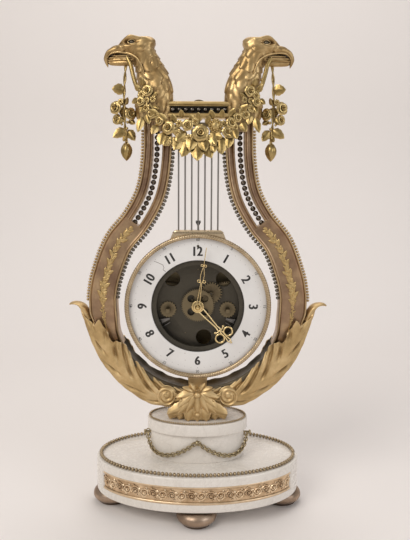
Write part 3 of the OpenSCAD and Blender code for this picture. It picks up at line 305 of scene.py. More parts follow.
def noiseOn(tree, coord, scale, detail=4.0, rough=0.55, distortion=0.0):
    grain = setAll(tree.nodes.new("ShaderNodeTexNoise"),
                   {"Scale": scale, "Detail": detail, "Roughness": rough, "Distortion": distortion})
    tree.links.new(coord, grain.inputs["Vector"])
    return grain.outputs["Fac"]


def rampOn(tree, value, stops):
    ramp = tree.nodes.new("ShaderNodeValToRGB")
    marks = ramp.color_ramp.elements
    while len(marks) < len(stops):
        marks.new(0.5)
    for mark, (spot, colour) in zip(marks, stops):
        mark.position = spot
        mark.color = (*colour[:3], 1)
    tree.links.new(value, ramp.inputs["Fac"])
    return ramp.outputs["Color"]


def blendOn(tree, share, low, high):
    mix = tree.nodes.new("ShaderNodeMix")
    mix.data_type = "RGBA"
    tree.links.new(share, mix.inputs["Factor"])
    for socket, value in ((mix.inputs["A"], low), (mix.inputs["B"], high)):
        if isinstance(value, tuple):
            socket.default_value = (*value[:3], 1)
        else:
            tree.links.new(value, socket)
    return mix.outputs["Result"]


def roughOn(tree, value, low, high, shader):
    span = setAll(tree.nodes.new("ShaderNodeMapRange"),
                  {"From Min": 0.3, "From Max": 0.7, "To Min": low, "To Max": high})
    tree.links.new(value, span.inputs["Value"])
    tree.links.new(span.outputs["Result"], shader.inputs["Roughness"])


def bumpOn(tree, value, strength, reach, shader):
    bump = setAll(tree.nodes.new("ShaderNodeBump"), {"Strength": strength, "Distance": reach})
    tree.links.new(value, bump.inputs["Height"])
    tree.links.new(bump.outputs["Normal"], shader.inputs["Normal"])


black, white = (0, 0, 0), (1, 1, 1)


# cloudy metal, with patina and painted shade darkening its hollows and a painted highlight on its edges
def metalFinish(name, deep, body, bright, patinaAndShade, scale, rough, reach, share=1.0):
    finish, tree, shader, coord = newFinish(name)
    clouds = noiseOn(tree, coord, scale, 5.0, 0.6)
    tint = rampOn(tree, clouds, [(0.3, deep), (0.5, body), (0.72, bright)])
    # patina and painted shade: the colour goes towards the dark hollow tone where ambient occlusion finds
    # hollows
    hollow = setAll(tree.nodes.new("ShaderNodeAmbientOcclusion"), {"Distance": reach})
    hollow.samples = 6
    opened = rampOn(tree, hollow.outputs["AO"], [(0.3, black), (0.88, white)])
    tint = blendOn(tree, opened, patinaAndShade, tint)
    # painted highlight: where pointiness is high, the edges' colour is lifted to the bright tone
    point = tree.nodes.new("ShaderNodeNewGeometry").outputs["Pointiness"]
    edge = rampOn(tree, point, [(0.515, black), (0.6, white)])
    tint = blendOn(tree, edge, tint, bright)
    tree.links.new(tint, shader.inputs["Base Color"])
    setAll(shader, {"Metallic": share})
    fine = noiseOn(tree, coord, scale * 9, 4.0)
    roughOn(tree, fine, *rough, shader)
    bumpOn(tree, fine, 0.15, 0.0004, shader)
    return finish


# dark clouds, body, bright clouds and painted edge highlight, patina and painted shade in the hollows, scale
# of the clouds, roughness from and to, reach of that hollow darkening in metres and, where it isn't all
# metal, the share of metal
metalRows = {
    "giltBronze": ((0.36, 0.225, 0.08), (0.56, 0.385, 0.155), (0.80, 0.60, 0.28),
                   (0.11, 0.06, 0.025), 60, (0.27, 0.44), 0.006),
    "leafGilt": ((0.42, 0.285, 0.125), (0.58, 0.41, 0.195), (0.76, 0.57, 0.31),
                 (0.23, 0.15, 0.07), 45, (0.38, 0.54), 0.004, 0.85),
    "eagleGilt": ((0.30, 0.19, 0.075), (0.44, 0.295, 0.13), (0.68, 0.5, 0.25),
                  (0.09, 0.055, 0.032), 50, (0.3, 0.46), 0.005, 0.9),
    "garlandGilt": ((0.19, 0.13, 0.045), (0.31, 0.215, 0.08), (0.58, 0.43, 0.19),
                    (0.05, 0.034, 0.015), 90, (0.25, 0.42), 0.008),
    "sprigGilt": ((0.30, 0.195, 0.075), (0.43, 0.29, 0.12), (0.66, 0.48, 0.22),
                  (0.16, 0.095, 0.045), 90, (0.3, 0.46), 0.003, 0.9),
    "pearlBronze": ((0.05, 0.045, 0.04), (0.10, 0.09, 0.078), (0.24, 0.215, 0.18),
                    (0.02, 0.018, 0.016), 110, (0.16, 0.3), 0.003),
    "railBronze": ((0.27, 0.175, 0.09), (0.40, 0.27, 0.145), (0.60, 0.44, 0.24),
                   (0.12, 0.07, 0.045), 50, (0.3, 0.46), 0.003, 0.9),
    "brightGilt": ((0.52, 0.36, 0.14), (0.70, 0.51, 0.22), (0.92, 0.73, 0.40),
                   (0.2, 0.12, 0.05), 70, (0.2, 0.34), 0.004),
    "cordGilt": ((0.28, 0.20, 0.115), (0.43, 0.32, 0.19), (0.68, 0.54, 0.36),
                 (0.07, 0.045, 0.03), 90, (0.24, 0.4), 0.002),
    "mouldBronze": ((0.25, 0.155, 0.10), (0.38, 0.25, 0.155), (0.58, 0.41, 0.24),
                    (0.10, 0.058, 0.042), 38, (0.27, 0.42), 0.005),
    "friezeGilt": ((0.50, 0.345, 0.20), (0.70, 0.51, 0.32), (0.90, 0.72, 0.50),
                   (0.17, 0.10, 0.06), 80, (0.28, 0.44), 0.003),
    "beadBronze": ((0.10, 0.075, 0.05), (0.185, 0.14, 0.09), (0.46, 0.36, 0.23),
                   (0.03, 0.022, 0.016), 120, (0.22, 0.38), 0.0035),
    "footBronze": ((0.25, 0.175, 0.125), (0.40, 0.29, 0.21), (0.60, 0.47, 0.36),
                   (0.10, 0.07, 0.05), 40, (0.32, 0.48), 0.006),
    # painted shade: near-black bronze for the shaded inner wall of the bowl's band and for the eagles' eyes
    # in their shaded sockets
    "paintedShadeBronze": ((0.075, 0.062, 0.045), (0.125, 0.104, 0.075), (0.2, 0.17, 0.12),
                   (0.04, 0.033, 0.026), 40, (0.34, 0.5), 0.005),
    # near-black metal: painted shade for the dial mount, front plate and crossbar channel, and the dial
    # pin's own dark colour
    "darkPlateAndShade": ((0.026, 0.024, 0.020), (0.048, 0.043, 0.036), (0.09, 0.08, 0.062),
                  (0.015, 0.014, 0.012), 45, (0.36, 0.54), 0.005, 0.9),
    "oldBrass": ((0.07, 0.055, 0.034), (0.115, 0.09, 0.056), (0.22, 0.175, 0.105),
                 (0.03, 0.023, 0.016), 60, (0.3, 0.46), 0.004),
    "chainBrass": ((0.16, 0.125, 0.07), (0.27, 0.215, 0.125), (0.5, 0.41, 0.25),
                   (0.05, 0.04, 0.025), 90, (0.24, 0.4), 0.003),
    "wheelBrass": ((0.075, 0.06, 0.036), (0.125, 0.10, 0.06), (0.24, 0.19, 0.11),
                   (0.03, 0.024, 0.016), 80, (0.26, 0.42), 0.003),
    "bellBronze": ((0.36, 0.27, 0.16), (0.5, 0.39, 0.24), (0.66, 0.54, 0.36),
                   (0.18, 0.13, 0.07), 30, (0.16, 0.3), 0.006),
    "plainSteel": ((0.20, 0.195, 0.185), (0.31, 0.30, 0.285), (0.46, 0.45, 0.43),
                   (0.08, 0.07, 0.06), 90, (0.26, 0.42), 0.003),
    "greySteel": ((0.06, 0.058, 0.056), (0.105, 0.10, 0.096), (0.2, 0.19, 0.18),
                  (0.03, 0.028, 0.026), 90, (0.24, 0.4), 0.003),
    "rodSteel": ((0.10, 0.092, 0.083), (0.165, 0.15, 0.135), (0.30, 0.28, 0.26),
                 (0.05, 0.045, 0.04), 110, (0.26, 0.42), 0.003)}
finishes = {name: metalFinish(name, *row) for name, row in metalRows.items()}
marbleLook = {
    "stone": (0.82, 0.775, 0.715), "cloud": (0.75, 0.70, 0.635), "vein": (0.60, 0.55, 0.49),
    "rough": (0.2, 0.32)}


def marbleFinish(name, look):
    finish, tree, shader, coord = newFinish(name)
    clouds = noiseOn(tree, coord, 16, 6.0, 0.6, 0.8)
    tint = rampOn(tree, clouds, [(0.3, look["cloud"]), (0.62, look["stone"])])
    lines = noiseOn(tree, coord, 9, 8.0, 0.62, 2.2)
    vein = rampOn(tree, lines, [(0.478, black), (0.5, (0.3, 0.3, 0.3)), (0.522, black)])
    tint = blendOn(tree, vein, tint, look["vein"])
    tree.links.new(tint, shader.inputs["Base Color"])
    fine = noiseOn(tree, coord, 240, 4.0)
    roughOn(tree, fine, *look["rough"], shader)
    bumpOn(tree, fine, 0.06, 0.0003, shader)
    setAll(shader, {"Coat Weight": 0.15, "Coat Roughness": 0.15})
    return finish


enamelLook = {
    "glaze": (0.80, 0.785, 0.765), "shade": (0.73, 0.71, 0.69), "spot": (0.36, 0.26, 0.2),
    "rough": (0.07, 0.14)}


def enamelFinish(name, look):
    finish, tree, shader, coord = newFinish(name)
    clouds = noiseOn(tree, coord, 22, 4.0)
    tint = rampOn(tree, clouds, [(0.35, look["shade"]), (0.6, look["glaze"])])
    cells = setAll(tree.nodes.new("ShaderNodeTexVoronoi"), {"Scale": 75})
    tree.links.new(coord, cells.inputs["Vector"])
    spots = rampOn(tree, cells.outputs["Distance"], [(0.03, (0.6, 0.6, 0.6)), (0.07, black)])
    tint = blendOn(tree, spots, tint, look["spot"])
    tree.links.new(tint, shader.inputs["Base Color"])
    fine = noiseOn(tree, coord, 60, 3.0)
    roughOn(tree, fine, *look["rough"], shader)
    bumpOn(tree, fine, 0.05, 0.0005, shader)
    setAll(shader, {"Coat Weight": 0.4, "Coat Roughness": 0.06})
    return finish


def paintFinish(name, dark, worn):
    finish, tree, shader, coord = newFinish(name)
    fine = noiseOn(tree, coord, 320, 3.0)
    tree.links.new(rampOn(tree, fine, [(0.35, dark), (0.75, worn)]), shader.inputs["Base Color"])
    roughOn(tree, fine, 0.25, 0.5, shader)
    bumpOn(tree, fine, 0.1, 0.0001, shader)
    return finish


def backdropFinish(name, colour):
    finish, tree, shader, coord = newFinish(name)
    soft = noiseOn(tree, coord, 1.4, 2.0)
    pale = tuple(c * 0.97 for c in colour[:3])
    tree.links.new(rampOn(tree, soft, [(0.3, pale), (0.7, colour)]), shader.inputs["Base Color"])
    setAll(shader, {"Roughness": 0.85, "Specular IOR Level": 0.2})
    return finish


finishes["whiteMarble"] = marbleFinish("whiteMarble", marbleLook)
finishes["whiteEnamel"] = enamelFinish("whiteEnamel", enamelLook)
finishes["figurePaint"] = paintFinish("figurePaint", (0.012, 0.011, 0.011), (0.05, 0.045, 0.04))
finishes["hairlinePaint"] = paintFinish("hairlinePaint", (0.07, 0.05, 0.04), (0.16, 0.12, 0.1))
print("finishes made")


# finish, body and the nodes that a piece stands for; the slot's name is not used
def dress(piece, finishName, *stands, body="stand", slotName="gilt_bronze"):
    piece.data.materials.clear()
    piece.data.materials.append(finishes[finishName])
    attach(piece, body)
    if stands:
        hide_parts(*stands)
    return piece


def dressPair(right, leftName, finishName, node):  # the right piece and its mirror image, a node each
    dress(mirrored(right, leftName), finishName, node + "_left")
    dress(right, finishName, node + "_right")


backdropLook = {"wide": 5200, "deep": 560, "bend": 520, "top": 1900}
backdropLine = [(y, 0) for y in (-1800, -900, -300, 100, 400, backdropLook["deep"])]
for c, s in map(cosSin, range(6, 91, 6)):
    backdropLine.append((backdropLook["deep"] + backdropLook["bend"] * s, backdropLook["bend"] * (1 - c)))
backdropLine += [(backdropLine[-1][0], z) for z in (900, backdropLook["top"])]
backdrop = gridSheet("backdrop", 8, len(backdropLine) - 1,
                     lambda u, v: ((u - 0.5) * backdropLook["wide"], *rowAt(backdropLine, v)))
soften(backdrop, 80).data.materials.append(backdropFinish("paleBackdrop", studio["floorColour"]))

# what is left of the solids gets its finish
solidFinish = {
    "plainSteel": "tie_rod", "leafGilt": "lyre_foot movement_bracket", "brightGilt": "hand_nut",
    # the dial mount and front plate are painted near black: painted shade inside the dial's ring
    "darkPlateAndShade": "dial_mount front_plate", "bellBronze": "bell", "rodSteel": "pendulum_rods",
    "oldBrass": "suspension_block back_plate plate_pillars going_barrel strike_barrel going_arbor "
                "strike_arbor minute_wheel hour_wheel bell_stand pendulum_yoke",
    "wheelBrass": "centre_wheel third_wheel escape_wheel cannon_pinion pin_wheel count_wheel warning_wheel",
    "greySteel": "pallet_anchor crutch fly hammer going_click strike_click click_springs"}
for finishName, nodeNames in solidFinish.items():
    for name in nodeNames.split():
        solid = cadNodes[name]
        solid.data.materials.clear()
        solid.data.materials.append(finishes[finishName])

# marble oval with the frieze's cut, its neck and its cap
stone = {
    "wide": 105.0, "deep": 63.0, "low": 17.0, "high": 52.5, "edge": 1.6, "columns": 288, "bore": 3.5,
    "sink": 12, "sinkTop": 25, "friezeLow": 25.49, "friezeHigh": 44.01, "friezeCut": 2.6,
    "friezeHalf": 65.3}
plinth = {"plinthNeck": (48.4, 28.1, 52.5, 81.5, 0.6), "plinthCap": (51.8, 31.5, 81.5, 93.5, 1.2)}


def ovalStone(name, rows, columns=144):  # rows of (half width, half depth, height) and perhaps a cut
    def lay(u, v):
        wide, deep, high, *cut = rowAt(rows, v)
        turn = turnAt(u, columns)
        if cut and abs(math.remainder(math.degrees(turn) - 270, 360)) <= stone["friezeHalf"]:
            wide, deep = wide - cut[0], deep - cut[0]
        return (wide * math.cos(turn), deep * math.sin(turn), high)
    return soften(closeUp(gridSheet(name, columns, len(rows) - 1, lay)), 35)


def roundedOval(wide, deep, low, high, edge):
    rows, bore = [], stone["bore"]
    for c, s in map(cosSin, range(0, 91, 18)):
        rows.append((wide - edge * (1 - s), deep - edge * (1 - s), low + edge * (1 - c)))
    for c, s in map(cosSin, range(0, 91, 18)):
        rows.append((wide - edge * (1 - c), deep - edge * (1 - c), high - edge * (1 - s)))
    return [(bore, bore, low)] + rows + [(bore, bore, high), (bore, bore, low)]


def buildStone():
    wide, deep, low = stone["wide"], stone["deep"], stone["low"]
    bore, sink, top = stone["bore"], stone["sink"], stone["sinkTop"]
    rows = roundedOval(wide, deep, low, stone["high"], stone["edge"])
    cut = [(wide, deep, stone[edge], share * stone["friezeCut"]) for edge, share in
           (("friezeLow", 0), ("friezeLow", 1), ("friezeHigh", 1), ("friezeHigh", 0))]
    rows = [(bore, bore, top), (sink, sink, top), (sink, sink, low)] + rows[1:7] + cut + rows[7:-1]
    base = ovalStone("marbleBase", rows + rows[:1], stone["columns"])
    dress(base, "whiteMarble", "marble_base", slotName="white_marble")
    for name, node in (("plinthNeck", "plinth_neck"), ("plinthCap", "plinth_cap")):
        dress(ovalStone(name, roundedOval(*plinth[name])), "whiteMarble", node, slotName="white_marble")


buildStone()
print("marble done")

footLook = {"radius": 20.0, "height": 17.0, "places": ((89.5, 0), (-89.5, 0), (0, 47.5), (0, -47.5))}


def buildFeet():
    r, h = footLook["radius"], footLook["height"]
    line = [(0, 0), (0.66, 0), (0.72, 0.03), (0.74, 0.08)]
    line += [(0.55 + 0.45 * c, 0.53 + 0.43 * s) for c, s in map(cosSin, range(-60, 61, 8))]
    line += [(0.7, 0.93), (0.66, 0.95), (0.66, 1), (0, 1)]
    foot = turned("foot", [(r * x, h * z) for x, z in line], 48)
    feet = spread(foot, [at(x, y, 0) for x, y in footLook["places"]], "bunFeet")
    dress(soften(feet, 40), "footBronze", "bun_feet", slotName="copper_bronze")


buildFeet()


def bead(name, radius, around=10, rings=7):  # a small round bead, flattened a little at its poles
    clearSelection()
    bpy.ops.mesh.primitive_uv_sphere_add(segments=around, ring_count=rings, radius=radius * mm)
    bpy.context.object.name = name
    return editAll(bpy.context.object, lambda: bpy.ops.transform.resize(value=(1, 1, 0.94)))


def beadMoves(line, step):
    spots = evenly(line, step)
    moves = []
    for i, p in enumerate(spots):
        along = runAt(spots, i)
        moves.append(at(*p, facing(along, upward if abs(along.normalized().z) < 0.9 else front)))
    return moves


# half width, half depth, height, radius of a bead, its faces round and along, the node
ovalBeads = {"baseBeads": (100.7, 58.7, 54.4, 1.9, 10, 7, "base_beads"),
             "plinthRing": (49.6, 29.3, 94.6, 1.1, 8, 6, "plinth_ring")}


def buildOvalBeads():
    for name, (wide, deep, high, r, around, rings, node) in ovalBeads.items():
        line = [Vector((wide * c, deep * s, high)) for c, s in map(cosSin, range(361))]
        row = spread(bead("bead", r, around, rings), beadMoves(line, 2 * r + 0.12)[:-1], name)
        dress(soften(row, 80), "beadBronze", node)


buildOvalBeads()
print("feet and bead rings done")

chainLook = {
    "wide": 51.4, "deep": 31.1, "top": 76.5, "dip": 17.0, "half": 88, "link": 2.2, "bar": 0.62,
    "step": 3.1, "squash": (1.12, 0.92, 1.1),
    "pin": [(0, 0), (0.9, 0), (0.9, 5.2), (1.7, 5.5), (2.1, 6.3), (1.7, 7.2), (0.8, 7.6), (0, 7.7)]}


def buildChain():
    wide, deep, top, half = (chainLook[key] for key in ("wide", "deep", "top", "half"))
    line = []
    for i in range(81):  # two festoons from side to side
        c, s = cosSin(-90 - half + 2 * half * i / 80)
        u = (i % 40) / 40
        line.append(Vector((wide * c, deep * s, top - chainLook["dip"] * 4 * u * (1 - u))))
    clearSelection()
    bpy.ops.mesh.primitive_torus_add(major_segments=14, minor_segments=6,
                                     major_radius=chainLook["link"] * mm, minor_radius=chainLook["bar"] * mm)
    link = editAll(bpy.context.object, lambda: bpy.ops.transform.resize(value=chainLook["squash"]))
    spots, moves = evenly(line, chainLook["step"]), []
    for i, p in enumerate(spots):
        along = runAt(spots, i).normalized()
        out = Vector((p.x / wide ** 2, p.y / deep ** 2, 0)).normalized()
        flat = out if i % 2 else along.cross(out)
        moves.append(at(*p, facing(flat, flat.cross(along))))
    parts = [spread(link, moves, "chainSwags")]
    neckWide, neckDeep = plinth["plinthNeck"][:2]
    for c, s in map(cosSin, (-90 - half, -90, -90 + half)):
        turn = facing((c / neckWide, s / neckDeep, 0), upward)
        pin = turned("pin", chainLook["pin"], 14)
        parts.append(spread(pin, [at(neckWide * c, neckDeep * s, top, turn)], "pin"))
    dress(soften(joined(parts, "chainSwags"), 60), "chainBrass", "chain_swags", slotName="aged_brass")


buildChain()

# inlaid frieze: a running scroll with rosettes between two fillets
friezeLook = {
    "wide": 104.42, "deep": 62.42, "low": 25.5, "high": 44.0, "half": 65, "motifs": 22,
    "fillet": [(0, -1.95), (0, 0.1), (0.5, 0.45), (1.7, 0.45), (2.3, -0.1), (2.5, -0.75)],
    "rosette": [(0, 0.75), (0.55, 0.65), (0.9, 0.2), (1.0, -0.1), (1.5, 0.3), (1.7, -0.7), (0, -0.8)],
    "sprays": ((200, 3.4), (150, 2.8), (245, 2.6), (20, 3.0), (60, 2.4)), "sprayAt": 4.4}
friezeArc = [(0.0, 0.0)]  # length along the front from the middle, and the angle there
for k in range(1, 10 * friezeLook["half"] + 1):
    (c0, s0), (c1, s1) = cosSin((k - 1) * 0.1), cosSin(k * 0.1)
    step = math.hypot(friezeLook["wide"] * (s1 - s0), friezeLook["deep"] * (c1 - c0))
    friezeArc.append((friezeArc[-1][0] + step, k * 0.1))


def onFrieze(along, high, out):  # length from the middle, height over the frieze's middle, relief
    c, s = cosSin(math.copysign(between(friezeArc, abs(along)), along) - 90)
    n = Vector((c / friezeLook["wide"], s / friezeLook["deep"], 0)).normalized()
    p = Vector((friezeLook["wide"] * c, friezeLook["deep"] * s, 0)) + n * out
    return (p.x, p.y, (friezeLook["low"] + friezeLook["high"]) / 2 + high)


def buildFrieze():
    half = (friezeLook["high"] - friezeLook["low"]) / 2
    reach = friezeArc[-1][0] - 0.3
    pitch = 2 * reach / friezeLook["motifs"]
    section = [(d - half, out) for d, out in friezeLook["fillet"]]
    section += [(-high, out) for high, out in reversed(section)]
    parts = [swept("friezePlate", section, 180, lambda corner, v: onFrieze(reach * (2 * v - 1), *corner))]
    curl = []
    for k in range(41):
        c, s = cosSin(-150 + 14 * k)
        curl.append(((4.6 - 0.08 * k) * c, (4.6 - 0.08 * k) * s, -0.45))
    stem = [(pitch * (0.0375 * k - 0.62), -2.42 * math.cos(math.pi * k / 8) - 1.6, -0.5) for k in range(9)]
    motif = [wire("scroll", curl, lambda v: 0.75 - 0.2 * v, 0.62, 6, upward),
             turned("rosette", friezeLook["rosette"], 12), wire("stem", stem, 0.55, 0.5, 6, upward)]
    for angle, size in friezeLook["sprays"]:
        c, s = cosSin(angle)
        spray = [((friezeLook["sprayAt"] + size * t) * c - 0.8 * size * s * t * t,
                  (friezeLook["sprayAt"] + 0.55 * size * t) * s + 0.5 * size * c * t * t, -0.5)
                 for t in (0, 0.25, 0.5, 0.75, 1)]
        motif.append(wire("spray", spray, lambda v: 0.25 + 0.85 * math.sin(math.pi * v), 0.5, 6, upward))
    motif = joined(motif, "motif")
    for i in range(friezeLook["motifs"]):  # every other one is upside down, which leaves its faces turned in
        twin, flip = copyOf(motif, Matrix.Identity(4)), 1 if i % 2 else -1
        for vert in twin.data.vertices:
            x, y, z = vert.co / mm
            vert.co = Vector(onFrieze(pitch * (i + 0.5) - reach + x, y * flip, z)) * mm
        parts.append(twin)
    putAway(motif)
    dress(soften(joined(parts, "baseFrieze"), 50), "friezeGilt", "base_frieze")


buildFrieze()
print("chain and frieze done")


# small models that the ornaments repeat; a leaf lies along +Y, its face to +Z
def leafModel(name, length, width, grid, ridge, curl, droop, wall, notch=0.0):
    def lay(u, v):
        side = 2 * u - 1
        half = width / 2 * (0.14 + math.sin(math.pi * min(1, v) ** 0.72) ** 0.9) * (1 - 0.14 * (v > 0.98))
        half = max(half if v < 0.995 else 0.05, 0.05)
        lift = curl * v * v - droop * side * side * half / width
        lift += ridge * (1 - abs(side)) * math.sin(math.pi * v) ** 0.5
        return (side * half * (1 + notch * math.cos(8 * math.pi * v)), v * length, lift)
    return closeUp(thicken(gridSheet(name, *grid, lay), wall, 0.0))


def roseModel(name, rings):  # petals of radius about 1, opening towards +Z
    petals = []
    for count, low, high, rise, tip, wide, phase in rings:
        for k in range(count):
            middle = 2 * math.pi * (k + phase) / count

            def lay(u, v):
                side = 2 * u - 1
                r = low + (high - low) * v ** 0.85 * (1 - 0.2 * side * side)
                fan = wide * math.pi / count * (0.45 + 0.55 * math.sin(math.pi * (0.15 + 0.6 * v)))
                a = middle + side * fan
                lift = rise * math.sin(math.pi / 2 * v) - tip * v ** 3 - 0.05 * side * side
                return (r * math.cos(a), r * math.sin(a), lift)
            petals.append(thicken(gridSheet("petal", 4, 4, lay), 0.09, 0.0))
    heart = turned("heart", [(0, 0.6), (0.1, 0.56), (0.15, 0.42), (0.12, 0.0), (0, 0)], 8)
    return closeUp(joined(petals + [heart], name))


# rings of petals: how many, radius from and to, rise, droop of the tip, width, how far round they start
roseRings = [(3, 0.02, 0.42, 0.74, 0.04, 1.6, 0.0), (4, 0.1, 0.74, 0.62, 0.16, 1.6, 0.3),
             (5, 0.22, 1.04, 0.42, 0.32, 1.6, 0.0)]
daisyRings = [(7, 0.12, 1.0, 0.30, 0.16, 1.1, 0.0), (6, 0.08, 0.6, 0.42, 0.1, 1.1, 0.4)]


def sheetTurn(direction, tilt):  # a leaf on the front: its length to direction in XZ, tipped forward
    c, s = cosSin(direction)
    return facing(front, (c, 0, s)) @ Matrix.Rotation(math.radians(tilt), 4, "X")


# lyre arms: two moulded bands with a slot between, a panel and a laurel sprig below it
armLook = {
    "knots": [(39.5, 0, 181), (40.6, 0, 144), (46.5, 0, 112), (60.7, 0, 85), (79.5, 0, 61), (91.3, 0, 31),
        (95.4, 0, 11), (95.6, 0, 0.1)],
    "steps": 8, "bowl": 95.6, "tail": 62, "squeeze": 0.24, "slotFrom": 2, "slotTo": 25, "beadY": -8.5}
armLine = smoothLine(armLook["knots"], armLook["steps"])
armEnd = len(armLine) - 1  # here the arm goes over into the round bowl
armLine += [Vector((armLook["bowl"] * s, 0, -armLook["bowl"] * c))
            for c, s in map(cosSin, range(88, armLook["tail"] - 1, -2))]


def armFrame(i):
    along = runAt(armLine, i).normalized()
    return armLine[i], along, Vector((-along.z, 0, along.x))


def onArm(i, n, y):
    p, along, side = armFrame(i)
    low = 2.0 * max(0, i - armEnd)  # degrees under the level of the dial's centre
    n *= 1 - armLook["squeeze"] * ease((low - 3) / 10 if n > 0 else (low - 6) / 18)  # slips under the leaf
    return Vector((p.x + side.x * n, y, dialUp + p.z + side.z * n))


def bandSweep(name, first, last, section):  # a section swept along a stretch of the arm
    return swept(name, section, last - first,
                 lambda corner, v: onArm(first + int(round(v * (last - first))), *corner))


def flipped(section):
    return [(-n, y) for n, y in section]


rail = [(13.6, 8.2), (13.6, -10.7), (13.2, -11.4), (12.3, -11.5), (11.7, -11.0), (11.3, -9.9)]
outerBand = rail + [(10.6, -9.2), (9.4, -8.8), (8.0, -8.9), (6.9, -9.5), (6.4, -10.4), (5.8, -10.8),
                    (5.1, -10.7), (4.6, -10.1), (4.6, 8.2), (5.4, 9.0), (12.8, 9.0)]
lowField = rail + [(10.6, -9.4), (9.2, -9.1), (5, -8.9)]
lowField += [(0, -8.8)] + flipped(reversed(lowField)) + [(-12.8, 9.0), (12.8, 9.0)]
topField = [(4.6, -8.6), (0, -9.4), (-4.6, -8.6), (-4.6, 8.0), (4.6, 8.0)]
railEdge = [(13.75, -10.4), (13.5, -11.6), (12.9, -11.95), (12.1, -11.7), (11.75, -11.1), (12.0, -10.2),
            (13.2, -9.6)]


def buildArms():
    cut, end = armLook["slotTo"], len(armLine) - 1
    parts = [bandSweep("outerBand", 0, cut, outerBand), bandSweep("innerBand", 0, cut, flipped(outerBand)),
             bandSweep("topField", 0, armLook["slotFrom"], topField),
             bandSweep("lowField", cut, end, lowField)]
    dressPair(soften(joined(parts, "lyreArmRight"), 38), "lyreArmLeft", "mouldBronze", "lyre_arm")
    edges = [bandSweep("edge", 0, end, railEdge), bandSweep("edge", 0, end, flipped(railEdge))]
    dress(bothSides(soften(joined(edges, "edgeRight"), 50), "armRails"), "railBronze")


buildArms()
sprigLook = {
    "from": 27, "to": 63, "leaf": (6.6, 3.6), "berry": 0.95, "y": -9.0,
    "wide": [(26, 0.7), (29, 1.05), (34, 0.95), (37, 1.15), (43, 1.0), (47, 1.15), (53, 0.85), (57, 0.5)]}


def buildSprigs():
    leaf = leafModel("laurelLeaf", *sprigLook["leaf"], (4, 5), ridge=0.7, curl=0.5, droop=0.6, wall=0.6)
    moves, berries = [], []
    first, last, y = sprigLook["from"], sprigLook["to"], sprigLook["y"]
    for i in range(first, last):
        p, along, side = armFrame(i)
        for k, s in enumerate((-1, 1)):
            stray = math.sin(2.7 * i + 1.9 * k)
            way = (-along + side * s * (0.5 + 0.35 * stray)).normalized()
            spot = p + side * s * (0.6 + 0.5 * math.sin(1.3 * i + k)) + along * 0.8 * k
            size = between(sprigLook["wide"], i) * (0.85 + 0.22 * math.sin(4.1 * i + 2 * k))
            turn = facing(front + 0.3 * side * s + 0.12 * stray * along, way)
            moves.append(fromDial(spot.x, y - 0.1 - 0.3 * (i % 2), spot.z, turn, size))
        if i % 3 == 0:
            spot = p + side * 2.6 * math.sin(2.1 * i)
            berries.append(fromDial(spot.x, y - 1.2, spot.z))
    parts = [spread(leaf, moves, "sprigLeaves"),
             spread(bead("berry", sprigLook["berry"], 8, 6), berries, "sprigBerries"),
             wire("sprigStem", [onArm(i, 0, y) for i in range(first - 1, last + 2)], 0.8, 0.8, 6)]
    dress(bothSides(soften(joined(parts, "sprigRight"), 50), "armSprigs"), "sprigGilt", "arm_sprigs")


buildSprigs()
# rows of beads: offset from the arm's middle, radius, first point, finish, node
rowLook = {"outerBeads": (15.06, 1.4, 2, "railBronze", ("arm_beads",)),
           "innerBeads": (-15.4, 1.85, 4, "pearlBronze", ())}
pearlLook = {
    "radius": 2.7, "step": 5.5, "off": 0.9, "y": -2, "barRadius": 2.4, "barStep": 6.3,
    "barPlace": (-7.45, 192.6)}


def buildArmRows():
    for name, (off, r, first, finishName, nodes) in rowLook.items():
        line = [onArm(i, off, armLook["beadY"]) for i in range(first, armEnd - 2)]
        row = spread(bead("bead", r), beadMoves(line, 2 * r + 0.2), "row")
        dress(soften(bothSides(row, name), 80), finishName, *nodes)
    slot = range(armLook["slotFrom"], armLook["slotTo"] + 1)
    line = [onArm(i, pearlLook["off"], pearlLook["y"]) for i in slot]
    moves = [at(*p, facing(front, upward)) for p in evenly(line, pearlLook["step"])]
    string = spread(bead("pearl", pearlLook["radius"], 16, 11), moves, "stringRight")
    strings = bothSides(string, "pearlStrings")
    moves = [fromDial(pearlLook["barStep"] * k, *pearlLook["barPlace"]) for k in range(-4, 5)]
    barRow = spread(bead("pearl", pearlLook["barRadius"], 16, 11), moves, "barPearls")
    dress(soften(joined([strings, barRow], "pearlStrings"), 80), "pearlBronze", "pearl_strings")


buildArmRows()
print("arms done")

# crossbar with its mouldings and a dark sheet in its channel, painted shade there: (depth, height), from the
# back round the front
barLook = {
    "half": 31.5, "shadeSheetY": -5.1, "shadeSheetLow": 189.5, "shadeSheetHigh": 195.7,
    "section": [(9, 185.2), (8.4, 184.6), (-7, 184.6), (-8.3, 185.1), (-8.9, 186.2), (-8.9, 187.6),
        (-8.3, 188.6), (-8.4, 189.2), (-5, 189.4), (-5, 195.8), (-8.4, 196), (-8.3, 196.6), (-9.1, 197.4),
        (-9.3, 198.8), (-8.7, 200), (-7.4, 200.6), (8.4, 200.6), (9, 200)]}


def buildCrossbar():
    half, low, high = barLook["half"], barLook["shadeSheetLow"], barLook["shadeSheetHigh"]
    bar = swept("crossbar", barLook["section"], 24,
                lambda corner, v: ((2 * v - 1) * half, corner[0], dialUp + corner[1]))
    dress(soften(bar, 35), "giltBronze", "crossbar")
    # painted shade: a near-black sheet at the back of the channel
    channelShade = gridSheet("barChannelShade", 24, 4, lambda u, v: ((2 * u - 1) * (half - 0.2), barLook["shadeSheetY"],
                                                   dialUp + low + (high - low) * v))
    dress(closeUp(thicken(channelShade, 0.4)), "darkPlateAndShade")


buildCrossbar()
